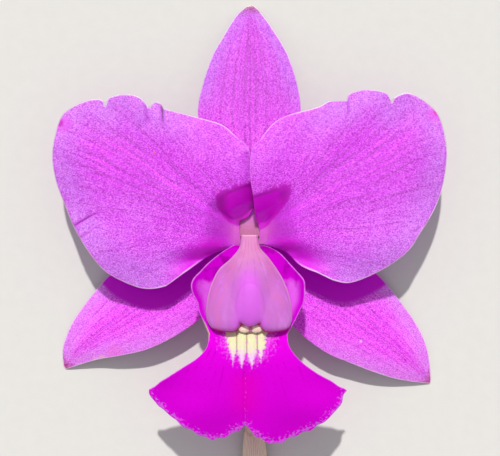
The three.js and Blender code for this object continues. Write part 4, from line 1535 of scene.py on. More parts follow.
LEFT_PETAL = Outline(
    foot=margin((-2.7, 3.9), (-2.7, 0.6), (-2, -2.6)),
    left=margin((-2.7, 3.9), (-1.3, 4.5), (-0.4, 5.1), (0.4, 6.1), (1, 7.3), (1.45, 8.6), (1.5, 11),
                (1.1, 14), (0.8, 18), (0.1, 22), (-1.2, 24.4), (-3.1, 26)),
    right=margin((-2, -2.6), (-4.2, -2.6), (-7.4, -3.8), (-11.8, -5.9), (-16.6, -9.3), (-21.9, -13.3)),
    far=margin((-3.1, 26), (-6.8, 29.3), (-11.3, 31), (-19.8, 33.3), (-22.5, 33.9), (-23.8, 35.4),
               (-24.9, 35.9), (-26.1, 35.4), (-26.7, 34.3), (-27.8, 35.4), (-29.7, 37.2), (-33.4, 37.9),
               (-36.7, 37.4), (-37.9, 36.6), (-38.4, 35.6), (-38.55, 34.7), (-38.75, 34.7),
               (-38.85, 35.6), (-39.3, 36.3), (-40.6, 36.7), (-43.5, 36.4), (-47.2, 34.8),
               (-50.7, 31.5), (-52.8, 22.3), (-52, 14.9), (-50.1, 9.6), (-47.2, 2.7), (-43.8, -2.9),
               (-39.8, -8.2), (-35.8, -11.2), (-29.9, -13.7), (-25.9, -14.1), (-21.9, -13.3)))

RIGHT_PETAL = Outline(
    foot=margin((2, -2.6), (2.8, 0.4), (2.5, 2.8)),
    left=margin((2, -2.6), (3.8, -2.4), (6.1, -2.9), (9.8, -4.3), (13.4, -7.7), (18, -9.8),
                (21.9, -11.7)),
    right=margin((2.5, 2.8), (1.8, 5), (1.3, 7.8), (0.9, 11), (0.3, 14.4), (0.1, 18.5), (0.5, 22.4),
                 (1.3, 24.2), (2.8, 25.5)),
    far=margin((21.9, -11.7), (26.7, -12.5), (33.4, -10.1), (39.2, -6.6), (43, -3.2), (45.4, 0.5),
               (48, 4.3), (50.7, 9.6), (52.3, 16), (52.8, 22.9), (51.7, 29.8), (49.9, 33.7),
               (46.4, 36.7), (42.7, 38.3), (40.3, 37.9), (38.8, 37.1), (38.3, 36.4), (38.15, 35.7),
               (37.95, 35.7), (37.8, 36.4), (37.3, 37.4), (36.2, 38.4), (33.6, 39), (29.9, 39.1),
               (26.7, 38), (25.7, 36.3), (21.7, 36.2), (18, 34.4), (10.2, 32.2), (6.2, 29.8),
               (2.8, 25.5)))

DORSAL_SEPAL = Outline(
    foot=margin((-3, -0.2), (3, -0.2)),
    left=margin((-3, -0.2), (-5.9, 12.5), (-10.1, 23.2), (-13.7, 31.3), (-13.9, 35.6), (-13.1, 40),
                (-10.5, 48.6), (-7.3, 54.8), (-3.8, 60.9), (-0.9, 63.9)),
    right=margin((3, -0.2), (6.7, 12.5), (10.9, 23.2), (13.6, 30.8), (13.9, 34.8), (13.5, 38.9),
                 (12.3, 44.2), (10, 50.7), (6.5, 56.9), (3.5, 61.5), (1.6, 63.9)),
    far=margin((-0.9, 63.9), (0.4, 64.4), (1.6, 63.9)))

LEFT_SEPAL = Outline(
    foot=margin((-3.2, -1.4), (-0.7, -4.4)),
    left=margin((-3.2, -1.4), (-13.5, -4.4), (-24.4, -7.1), (-33.1, -8.8), (-38.5, -10.9), (-41.6, -14),
                (-45.5, -18.7), (-49.1, -23.8), (-51.3, -28.7), (-52.2, -32.4), (-52, -36.3)),
    right=margin((-0.7, -4.4), (-3.1, -12.1), (-8.6, -18.5), (-13.2, -22.4), (-17.3, -25.5),
                 (-22.5, -28.6), (-28.6, -31.3), (-35.6, -33), (-41.3, -34.1), (-46, -35.5),
                 (-50.3, -37)),
    far=margin((-52, -36.3), (-51.3, -37.2), (-50.3, -37)))

RIGHT_SEPAL = Outline(
    foot=margin((0.7, -4.4), (3.2, -1.4)),
    left=margin((0.7, -4.4), (3.4, -13.2), (7.7, -19.9), (12.1, -24.8), (16.5, -28.9), (22, -32.5),
                (27.5, -34.8), (33.1, -37.1), (39.4, -39.3), (44.6, -40.5), (49.4, -41.2)),
    right=margin((3.2, -1.4), (13.2, -4.4), (24.1, -6), (31.1, -7.9), (35.5, -10.9), (38.6, -14.2),
                 (42.3, -18.9), (45.9, -23.8), (48.4, -28.4), (49.9, -33.6), (50.7, -40)),
    far=margin((49.4, -41.2), (50.4, -41.2), (50.7, -40)))

LIP_LOBES = Outline(
    foot=margin((-1.8, -3.2), (1.8, -3.2)),
    left=margin((-1.8, -3.2), (-3.7, -2.4), (-5.8, -3.3), (-8.3, -5), (-11, -7.2), (-13, -9.3),
                (-14.6, -11), (-15.3, -12.9), (-14.9, -15.1), (-13.7, -17.5), (-13.2, -19.9),
                (-12.1, -22.4), (-10.7, -25.5)),
    right=margin((1.8, -3.2), (3.7, -2.6), (5.8, -3.2), (8.4, -4.8), (10.7, -7.3), (12.5, -9.3),
                 (14.3, -11.5), (14.6, -13.8), (14.3, -17.2), (13.1, -19.9), (11.8, -22.4), (9.9, -25.5)),
    far=margin((-10.7, -25.5), (9.9, -25.5)))

LIP_FRONT = Outline(
    foot=margin((-10.7, -25.5), (9.9, -25.5)),
    left=margin((-10.7, -25.5), (-11.1, -28.7), (-13.4, -31.5), (-17.4, -34.2), (-22.3, -37.5),
                (-26.8, -40.8)),
    right=margin((9.9, -25.5), (10.4, -28.7), (13.2, -32.3), (17.4, -35.6), (21.7, -38.2), (25.8, -41.1)),
    far=margin((-26.8, -40.8), (-25.6, -43.5), (-21.6, -47.1), (-16.8, -50.7), (-12.6, -53),
               (-9.1, -53.9), (-5.7, -52.9), (-2.8, -51), (-1.1, -50), (0.4, -51.5), (3.3, -53.8),
               (7, -55), (11.2, -53.4), (14.9, -51.8), (19.2, -49.5), (23.2, -45.9), (24.8, -42.9),
               (25.8, -41.1)))

HOOD = Outline(
    foot=margin((-2.3, 0.25), (2.3, 0.25)),
    left=margin((-2.3, 0.25), (-2.7, -3), (-4.9, -5.9), (-8.1, -8.8), (-9.9, -12.2), (-11, -15.8),
                (-11.5, -19.7)),
    right=margin((2.3, 0.25), (2.8, -3), (5.3, -6), (8.2, -10.2), (9.9, -13.8), (10.8, -17.2),
                 (11.2, -20.3)),
    far=margin((-11.5, -19.7), (-10.9, -22.3), (-9.3, -24.2), (-6.3, -24.9), (-4, -24.9), (-2.9, -24.1),
               (-2.3, -23.2), (-1.6, -22.95), (-0.8, -23.25), (0.1, -23.4), (1, -23.25), (1.8, -22.95),
               (2.5, -23.2), (3.1, -24.1), (4.2, -24.9), (6.3, -25), (9.6, -24.4), (10.9, -22.6),
               (11.2, -20.3)))


# ---- sub-assemblies ----


class Side(Enum):
    """Left or right, seen with the dorsal sepal up."""

    LEFT = -1
    RIGHT = 1


@dataclass(frozen=True)
class PetalForm:
    """One petal's own outline and relief."""

    node: str
    side: Side
    outline: Outline
    pocket: Pocket
    midvein: float
    waves: float
    phase: float
    creases: tuple[Crease, ...]
    blemishes: tuple[Blemish, ...]


@dataclass
class Petals:
    """The two broad petals, which sink to the hub: steeply above it, in a round funnel below."""

    tuck: float = 1.6  # how far the left petal's inner margin lies under the right one's
    tuck_x: Span = (-3, 0.3)
    tuck_low: Span = (9, 12.3)
    tuck_high: Span = (20, 23.5)
    crest: float = 2.2
    crest_y: float = 19.0
    crest_size: Point = (11, 9)
    wobble: float = 0.16  # how uneven the margins are
    wobble_reach: float = 2.5
    overhang: float = 1.6  # how far the blade is made too long before it is trimmed to its notches
    lower_roll: float = 3.4
    roll_across: Span = (0.82, 1)
    roll_start: Span = (0.08, 0.35)
    roll_end: Span = (0.45, 0.75)
    recurve: float = 2.4
    lower_recurve: float = 0.8
    recurve_across: Span = (0.6, 0.9)
    wave: float = 0.75
    groove: float = 0.25
    groove_width: float = 0.035
    groove_start: Span = (0.1, 0.4)
    length: float = 50.0
    width: float = 60.0
    rows: int = 92
    columns: int = 400
    forms: tuple[PetalForm, ...] = (
        PetalForm(
            "petal_left", Side.LEFT, LEFT_PETAL,
            pocket=Pocket(x=-4.5, low=3.9, reach=8.8, hem_shade=0.7), midvein=0.44, waves=4, phase=0.6,
            creases=(Crease((-27.6, 35.6), (-27.3, 28.6), 0.6, 0.5, 0.45),
                     Crease((-23.6, 36.4), (-22.9, 28.4), 0.45, 0.55, 0.7),
                     Crease((-48.3, 1.9), (-39.6, 6.8), 0.42, 0.5, 1.2),
                     Crease((-45.6, -0.9), (-41.5, 1.7), 0.3, 0.4, 0.5)),
            blemishes=(Blemish(-49.4, 29.8, 2.8, "#D83CDC", 0.5), Blemish(-50.7, 30.2, 1.3, "#B800B8"),
                       Blemish(-25.4, 22.1, 0.4, "#E07A50"))),
        PetalForm(
            "petal_right", Side.RIGHT, RIGHT_PETAL,
            pocket=Pocket(x=6.5, low=2.5, reach=10.8, hem_shade=0.0), midvein=0.56, waves=4.4, phase=2.1,
            creases=(Crease((26.3, 37), (26.1, 31.4), 0.4, 0.5, 0.5),
                     Crease((45.8, 2.4), (42.6, 0.2), 0.4, 0.35, 0.2)),
            blemishes=(Blemish(49.2, 32.4, 2.4, "#DC40DC", 0.4), Blemish(50.1, 33.0, 1.1, "#D818B4", 0.8))),
    )

    def height(self, form: PetalForm, x: Array, y: Array, s: Array, t: Array) -> Array:
        """Return a petal's height over the petals' plane.

        Args:
            form: Which petal.
            x: Place across the flower.
            y: Place along the flower.
            s: Place along the blade.
            t: Place across the blade.

        Returns:
            The heights in mm.
        """
        low = t if form.side is Side.LEFT else 1 - t
        below = 1 - smooth(np.hypot(x, y - HUB_Y), HUB_RADIUS, FUNNEL_RADIUS)
        reach = (np.abs(x) - HUB_RADIUS) / (FUNNEL_RADIUS - HUB_RADIUS
                                            - POCKET_NARROWS * smooth(y, HUB_Y, HUB_Y + 5))
        above = 1 - smooth(reach, 0, 1)
        wall = y - POCKET_SLANT * (x - form.pocket.x)
        above = above * (1 - smooth(wall, *POCKET_WALL))
        funnel = PETAL_FOOT * np.where(y < HUB_Y, below, above)
        tuck = 0.0
        if form.side is Side.LEFT:
            tuck = self.tuck * smooth(x, *self.tuck_x) * smooth(y, *self.tuck_low)
            tuck = tuck * (1 - smooth(y, *self.tuck_high))
        wide, long = self.crest_size
        crest = self.crest * bump(x, wide) * bump(y - self.crest_y, long)
        roll = self.lower_roll * smooth(low, *self.roll_across)
        roll = roll * smooth(s, *self.roll_start) * (1 - smooth(s, *self.roll_end))
        recurve = mix(self.recurve, self.lower_recurve, smooth(low, *self.recurve_across)) * s**4
        wave = self.wave * s**3 * np.sin(2 * np.pi * form.waves * t + form.phase)
        groove = self.groove * bump(t - form.midvein, self.groove_width) * (1 - s**2)
        groove = groove * smooth(s, *self.groove_start)
        return funnel + crest - roll - recurve + wave - groove - tuck

    def build(self) -> None:
        """Make both petals and dress them."""
        for form in self.forms:
            sheet = Sheet(steps(self.rows, self.length), steps(self.columns, self.width))
            s, t = sheet.places
            flat = form.outline.spread(s, t, self.overhang)
            past = ~form.outline.holds(flat)
            place, edge = nearest(flat, form.outline.rim())
            flat = np.where(past[..., None], place, flat)
            uneven = self.wobble * (1 - smooth(edge, 0, self.wobble_reach)) * ~past.any(axis=0)
            swapped = flat[..., ::-1] + (0.4, 2.0)
            flat = flat + uneven[..., None] * (np.sin(1.3 * swapped) + 0.6 * np.sin(2.9 * swapped))
            x, y = flat[..., 0], flat[..., 1]
            folds = sum(crease.sink(x, y) for crease in form.creases)
            # painted shade along each crease
            fold_shades = sum(crease.mark(x, y) for crease in form.creases)
            marks = {"edge_mm": np.where(past, 0, edge), "fold": fold_shades}
            middle = np.dstack([flat, self.height(form, x, y, s, t) - folds])
            piece = blade_object(form.node + "_blade", middle, sheet, marks, trimmed=past,
                                 outline=form.outline)
            skin = PetalSkin("petal skin, " + form.side.name.lower(), midvein=form.midvein,
                             pocket=form.pocket, blemishes=form.blemishes)
            dress(piece, form.node, skin.material())

    def lower_edge(self, x: Array) -> Array:
        """Follow the petals' lower margins.

        Args:
            x: Place across the flower.

        Returns:
            The margins' value of y there.
        """
        line = np.concatenate([np.concatenate(form.outline.rim()) for form in self.forms])
        bins = np.linspace(-54, 54, 217)
        place = np.digitize(line[:, 0], bins)
        lowest = np.array([line[place == k, 1].min(initial=60.0) for k in range(len(bins))])
        return np.interp(x, bins - 0.25, lowest)


@dataclass(frozen=True)
class SepalForm:
    """One sepal's own outline, its rise, and its turn about its own length."""

    node: str
    outline: Outline
    tip: Point
    rise: float
    rise_span: Span
    turn: float = 0.0
    grain_turn: float = 0.0
    blemishes: tuple[Blemish, ...] = ()


@dataclass
class Sepals:
    """The three narrow sepals behind the petals, which curve back to the surface at their tips."""

    petals: Petals
    petal_shadow_span: Span = (-6.8, -5.2)  # how far below the petals' margin their painted shadow ends
    recurve_start: float = 30.0
    recurve_power: float = 2.1
    tip_height: float = -FACE_HEIGHT + 0.2
    crown: float = 1.0
    turn_start: Span = (8, 26)
    turn_end: float = 0.75  # share of the sepal's length
    length: float = 65.0
    width: float = 22.0
    rows: int = 190
    columns: int = 90
    forms: tuple[SepalForm, ...] = (
        SepalForm(
            "dorsal_sepal", DORSAL_SEPAL,
            tip=(0.4, 64.4), rise=4.6, rise_span=(7.5, 24)),
        SepalForm(
            "lateral_sepal_left", LEFT_SEPAL,
            tip=(-51.3, -37.2), rise=0.6, rise_span=(4, 18), turn=0.16,
            blemishes=(Blemish(-37.0, -32.4, 3.4, "#F068C8", 0.4),
                       Blemish(-40.6, -33.9, 1.4, "#E6C4A0", 0.5),
                       Blemish(-42.8, -34.6, 1.3, "#E6C4A0", 0.4))),
        SepalForm(
            "lateral_sepal_right", RIGHT_SEPAL,
            tip=(50.4, -41.2), rise=0.6, rise_span=(4, 18), turn=0.16, grain_turn=-38.0,
            blemishes=(Blemish(30.5, -28.9, 0.5, "#F6C8F2"), Blemish(33.7, -20.4, 0.35, "#9A149E"),
                       Blemish(34.2, -21.1, 0.35, "#9A149E"))),
    )

    def height(self, form: SepalForm, x: Array, y: Array, s: Array, t: Array) -> Array:
        """Return a sepal's height over the petals' plane.

        Args:
            form: Which sepal.
            x: Place across the flower.
            y: Place along the flower.
            s: Place along the blade.
            t: Place across the blade.

        Returns:
            The heights in mm.
        """
        reach = math.hypot(form.tip[0], form.tip[1] - HUB_Y)
        drop = SEPAL_FOOT + form.rise - self.tip_height
        along = np.hypot(x, y - HUB_Y)
        up = form.rise * smooth(along, *form.rise_span)
        far = np.maximum((along - self.recurve_start) / (reach - self.recurve_start), 0)
        crown = self.crown * (2 * t - 1) ** 2 * np.sin(np.pi * s)
        axis = HUB_Y + (form.tip[1] - HUB_Y) * x / form.tip[0]
        turn = form.turn * (axis - y) * smooth(along, *self.turn_start)
        turn = turn * (1 - smooth(along, self.turn_end * reach, reach))
        return SEPAL_FOOT + up - drop * far**self.recurve_power - crown + turn

    def build(self) -> None:
        """Make the three sepals and dress them."""
        for form in self.forms:
            sheet = Sheet(steps(self.rows, self.length), steps(self.columns, self.width))
            flat = form.outline.point(*sheet.places)
            x, y = flat[..., 0], flat[..., 1]
            middle = np.dstack([flat, self.height(form, x, y, *sheet.places)])
            # painted shadow: the sepal's skin where the petals' cast shadow falls on it
            petal_shadow = smooth(y - self.petals.lower_edge(x), *self.petal_shadow_span)
            marks = {"edge_mm": nearest(flat, form.outline.rim())[1],
                     "petal_shadow": petal_shadow * (y < HUB_Y)}
            piece = blade_object(form.node + "_blade", middle, sheet, marks)
            dress(piece, form.node, self.skin(form).material())

    def skin(self, form: SepalForm) -> PetalSkin:
        """Mix a sepal's finish: straighter, closer veins and an aged tip.

        Args:
            form: Which sepal.

        Returns:
            The finish.
        """
        ranks = ((9, -1.0), (18, 0.15))
        if form.node == "dorsal_sepal":
            # the dorsal sepal gets painted light, paler towards its foot, against the shade of its slope
            return PetalSkin("sepal skin, dorsal", body="#CA3CD6", lavender="#CC52DC",
                             deep="#C430D6", cool="#C070E2", foot=("#CC84C0", "#C87AA8"),
                             tip=("#A04C84", "#E4DDB0"), tip_start=0.955, foot_end=0.24,
                             widths=(6, 26), vein_ranks=ranks, vein_shares=(0.18, 0.5),
                             rib=0.42, streaks=34.0, base_light_share=0.95, edge_band=6, grain_turn=90.0)
        # the lateral sepals' deep colour is their painted shadow under the petals
        return PetalSkin("sepal skin, " + form.node, shine=0.2, glint=0.12, body="#EC5AF2",
                         lavender="#EE76F8", deep="#DC3CE4", cool="#E288F4", painted_shade="#D400DA",
                         tip=("#A8466C", "#E8D8B0"), tip_start=0.965, grain_turn=form.grain_turn,
                         widths=(5, 24), vein_ranks=ranks, vein_shares=(0.18, 0.34), rib=0.3,
                         streaks=34.0, edge_band=6, blemishes=form.blemishes)


@dataclass
class Lip:
    """The lip: two side lobes beside the column, a waist with low ridges, and the front lobe."""

    lobe_rise: float = 16.0
    lobe_reach: float = 15.3
    lobe_span: Span = (-4, 28)  # these spans are mm down from the column's foot
    corner_drop: float = 5.4
    corner_reach: float = 26.8
    corner_span: Span = (22, 42)
    ridge_height: float = 0.4
    ridge_pitch: float = 2.6
    disc_x: float = -0.63
    disc_width: float = 4.6
    disc_start: Span = (16, 22)
    disc_end: Span = (32, 39)
    furrow_depth: float = 0.5
    furrow_x: float = -1.1
    furrow_width: float = 0.8
    furrow_start: Span = (32, 38)
    ruffle: float = 0.55
    ruffle_count: float = 11.0
    ruffle_across: Span = (0.6, 1)
    ruffle_start: Span = (28, 36)
    front_y: float = -25.5
    front_size: Point = (26.8, 29.0)
    fan_y: float = -22.0  # where the ruffles fan out from
    wobble: float = 0.22  # how uneven the front margin is
    wobble_reach: float = 2.5
    wobble_start: Span = (36, 42)
    seam: float = 0.015  # rows closer than this to the seam of the two patches are left out
    lobe_length: float = 23.0
    front_length: float = 27.0
    width: float = 24.0
    lobe_rows: int = 90
    front_rows: int = 110
    columns: int = 200
    line: Margin = margin((-3.2, LIP_FOOT), (-8, -5.6), (-16, -0.6), (-22, 3.6), (-25.5, 5.9),
                          (-30, 7.5), (-36, 7.4), (-44, 5.8), (-50, 3.6), (-56, 1))
    lobes: Outline = LIP_LOBES
    front: Outline = LIP_FRONT

    def middle(self, y: Array) -> Array:
        """Return the height of the lip's middle line."""
        line = self.line.at(np.linspace(0, 1, 201))[::-1]
        return np.interp(y, line[:, 0], line[:, 1])

    def height(self, x: Array, y: Array) -> Array:
        """Return the lip's height over the petals' plane.

        Args:
            x: Place across the flower.
            y: Place along the flower.

        Returns:
            The heights in mm.
        """
        rise = self.lobe_rise * (1 - smooth(-y, *self.lobe_span)) * (x / self.lobe_reach) ** 2
        drop = self.corner_drop * smooth(-y, *self.corner_span) * (x / self.corner_reach) ** 2
        return self.middle(y) + rise - drop

    def relief(self, x: Array, y: Array) -> Array:
        """Return the low forms on the lip: disc ridges, middle furrow and ruffled margin.

        Args:
            x: Place across the flower.
            y: Place along the flower.

        Returns:
            What they add to the height, in mm.
        """
        from_disc = x - self.disc_x
        ridges = 0.5 - 0.5 * np.cos(2 * np.pi * from_disc / self.ridge_pitch)
        on_disc = bump(from_disc, self.disc_width) * smooth(-y, *self.disc_start)
        on_disc = on_disc * (1 - smooth(-y, *self.disc_end))
        furrow = self.furrow_depth * bump(x - self.furrow_x, self.furrow_width)
        furrow = furrow * smooth(-y, *self.furrow_start)
        wide, long = self.front_size
        out = np.hypot(x / wide, (y - self.front_y) / long)
        turn = np.arctan2(x, self.fan_y - y)
        ruffle = self.ruffle * smooth(out, *self.ruffle_across) * np.sin(self.ruffle_count * turn + 1)
        return self.ridge_height * ridges * on_disc - furrow + ruffle * smooth(-y, *self.ruffle_start)

    def build(self) -> None:
        """Make the lip as one blade of two patches that share the waist, and dress it."""
        near = steps(self.lobe_rows, self.lobe_length)
        far = steps(self.front_rows, self.front_length)
        rows = np.concatenate([near[near < 1 - self.seam], 1 + far[(far == 0) | (far > self.seam)]])
        sheet = Sheet(rows, steps(self.columns, self.width))
        s, t = sheet.places
        flat = np.where((s <= 1)[..., None], self.lobes.point(np.clip(s, 0, 1), t),
                        self.front.point(np.clip(s - 1, 0, 1), t))
        x, y = flat[..., 0], flat[..., 1]
        z = self.height(x, y) + self.relief(x, y)
        lobe_rim, front_rim = self.lobes.rim(), self.front.rim()
        edge = nearest(flat, [lobe_rim[0], lobe_rim[2], *front_rim])[1]
        uneven = self.wobble * (1 - smooth(edge, 0, self.wobble_reach))
        uneven = uneven * smooth(-y, *self.wobble_start)
        flat = flat + uneven[..., None] * np.sin(1.7 * flat[..., ::-1] + (0.9, 2.6))
        piece = blade_object("lip_blade", np.dstack([flat, z]), sheet, {"edge_mm": edge})
        skin = LipSkin("lip skin, velvet", roughness=0.75, shine=0.03, flesh=0.35)
        dress(piece, "lip", skin.material())


@dataclass
class Column:
    """The column: a thick hood over the mouth of the lip, with anther cap and pollen masses.

    The nose, a broad blunt tongue between the hood's lobes, is melted into the hood's front.
    """

    lip: Lip
    clearance: float = 0.95
    rim: float = 1.0
    hollow: float = 2.0
    ridge: float = 0.9
    ridge_half_width: float = 0.32
    nose_centre: Triple = (0.13, -17.9, 8.5)
    nose_size: Triple = (3.7, 6.0, 1.9)
    nose_blend: float = 1.8
    nose_flank: float = 5.0
    dome_power: float = 2.4
    ridge_start: Span = (0.35, 0.7)
    ridge_power: float = 8.0
    hollow_start: Span = (0.3, 0.7)
    hollow_end: Span = (0.85, 1)
    line_start: Span = (23, 24.2)  # mm down from the column's foot, where the painted shade along the lower edge begins
    line_width: Span = (0.25, 0.65)
    length: float = 24.0
    width: float = 20.0
    rows: int = 150
    columns: int = 150
    rounding: float = 0.55
    depth: Margin = margin((0, 2.4), (0.25, 5.2), (0.5, 7.6), (0.7, 7.9), (0.85, 6.2), (0.95, 4.2),
                           (1, 1.7))
    outline: Outline = HOOD
    foot_radius: float = 1.2
    foot_y: float = -1.75
    foot_root: float = 2.0  # how far the foot reaches up into the hood
    foot_sides: int = 32
    foot_rings: int = 12
    cap_centre: Triple = (0.25, -24.0, 7.25)
    cap_size: Triple = (1.75, 1.1, 0.6)
    cap_spread: float = 1.45
    beak_size: Triple = (0.9, 1.0, 0.55)
    pollen_centre: Triple = (-0.1, -19.4, 5.4)
    pollen_size: Triple = (0.5, 1.0, 0.6)
    pollen_pitch: float = 0.8

    def back(self, x: Array, y: Array) -> Array:
        """Return the height of the column's back, which follows the lip's channel."""
        foot = COLUMN_FOOT + 1.3 * smooth(-y, -0.2, 2.8)
        return mix(foot, self.lip.height(x, y) + self.clearance, smooth(-y, 3, 6))

    def nose(self, x: Array, y: Array) -> tuple[Array, Array]:
        """Shape the nose.

        Args:
            x: Place across the flower.
            y: Place along the flower.

        Returns:
            The height of its top, and how strongly painted shade darkens its lower edge.
        """
        (cx, cy, cz), (half_width, half_length, rise) = self.nose_centre, self.nose_size
        out = np.hypot((x - cx) / half_width, (y - cy) / half_length)
        top = cz + rise * np.sqrt(np.maximum(1 - out**2, 0)) - self.nose_flank * np.maximum(out - 1, 0)
        return top, smooth(out, 0.9, 0.97) * (1 - smooth(out, 1.06, 1.12)) * smooth(cy - y, 3.8, 5)

    def build(self) -> None:
        """Make the hood with its foot, the anther cap and the pollen masses, and dress them."""
        sheet = Sheet(steps(self.rows, self.length), steps(self.columns, self.width))
        s, t = sheet.places
        flat = self.outline.point(s, t)
        x, y = flat[..., 0], flat[..., 1]
        edge = nearest(flat, self.outline.rim())[1]
        line = self.depth.at(np.linspace(0, 1, 101))
        side = np.abs(2 * t - 1)
        depth = np.interp(s, line[:, 0], line[:, 1])
        dome = (depth - self.rim) * (1 - side**self.dome_power)
        ridge = self.ridge * bump(side, self.ridge_half_width) * smooth(s, *self.ridge_start)
        ridge = ridge * (1 - s**self.ridge_power)
        under = self.back(x, y)
        hollow = self.hollow * smooth(s, *self.hollow_start) * (1 - smooth(s, *self.hollow_end))
        hollow = hollow * (1 - side**2)
        nose, nose_shade = self.nose(x, y)
        hood = under + self.rim + dome + ridge
        melted = np.maximum(self.nose_blend - np.abs(hood - nose), 0) ** 2 / (4 * self.nose_blend)
        over = np.maximum(hood, nose) + melted
        under = under + hollow
        closing = np.sqrt(1 - np.clip(1 - edge / self.rounding, 0, 1) ** 2)
        middle = (over + under) / 2
        half = (over - under) / 2 * closing
        # painted shade: a dark line along the hood's lower edge and under the nose
        lip = smooth(-y, *self.line_start) * (1 - smooth(edge, *self.line_width))
        marks = {"edge_mm": edge, "lower_edge_shade": np.maximum(nose_shade, lip)}
        piece = self.hood(sheet, flat, middle, half * sheet.inner, marks)
        skin = ColumnSkin("column skin, waxy", roughness=0.6, shine=0.3, flesh=0.6,
                          depth=(1.6, 0.6, 1.4))
        dress(piece, "column", skin.material())
        cx, cy, cz = self.cap_centre
        lobes = [((cx + turn * self.cap_spread, cy, cz), self.cap_size) for turn in (-1, 1)]
        lobes.append((self.cap_centre, self.beak_size))
        cap = fused_object("anther_cap_wax", lobes, 0.09)
        cap_wax = WaxSkin("anther cap, waxy", seam_x=cx)
        dress(cap, "anther_cap", cap_wax.material())
        px, py, pz = self.pollen_centre
        masses = [((px + place * self.pollen_pitch, py, pz), self.pollen_size)
                  for place in (-1.5, -0.5, 0.5, 1.5)]
        pollen = fused_object("pollinia_wax", masses, 0.06)
        wax = WaxSkin("pollen wax", light="#F6DC6E", dark="#DDAF3A", grain=Grain(0.3, 3))
        dress(pollen, "pollinia", wax.material())

    def hood(self, sheet: Sheet, flat: Array, middle: Array, half: Array, marks: Marks) -> bpy.types.Object:
        """Close the hood between its front and back, and add its foot.

        Args:
            sheet: The grid that its points form.
            flat: Each point's x and y.
            middle: The height halfway through the hood.
            half: Half of the hood's depth.
            marks: Named values of each point.

        Returns:
            The new object.
        """
        front, back = (np.dstack([flat, middle + way * half]).reshape(-1, 3) for way in (1, -1))
        points, faces, uv, both = sheet.closed(front, back, marks, sheet.inner, sheet.squares, True)
        turn = np.linspace(0, 2 * np.pi, self.foot_sides, endpoint=False)
        levels = np.linspace(OVARY_TOP + JOINT_GAP, COLUMN_FOOT + self.foot_root, self.foot_rings)
        post = np.stack(np.broadcast_arrays(self.foot_radius * np.cos(turn)[None, :],
                                            self.foot_y + self.foot_radius * np.sin(turn)[None, :],
                                            levels[:, None]), axis=2).reshape(-1, 3)
        foot = stack_faces(self.foot_rings, self.foot_sides, len(points))
        uv = np.concatenate([uv, np.full((len(post), 2), (0.5, 0.0))])
        both = {mark: np.concatenate([both[mark], np.full(len(post), value)])
                for mark, value in (("edge_mm", 2.0), ("lower_edge_shade", 0.0))}
        return object_from("column_hood", np.concatenate([points, post]), faces.tolist() + foot, uv,
                           both, (FACE_Y, FACE_HEIGHT))


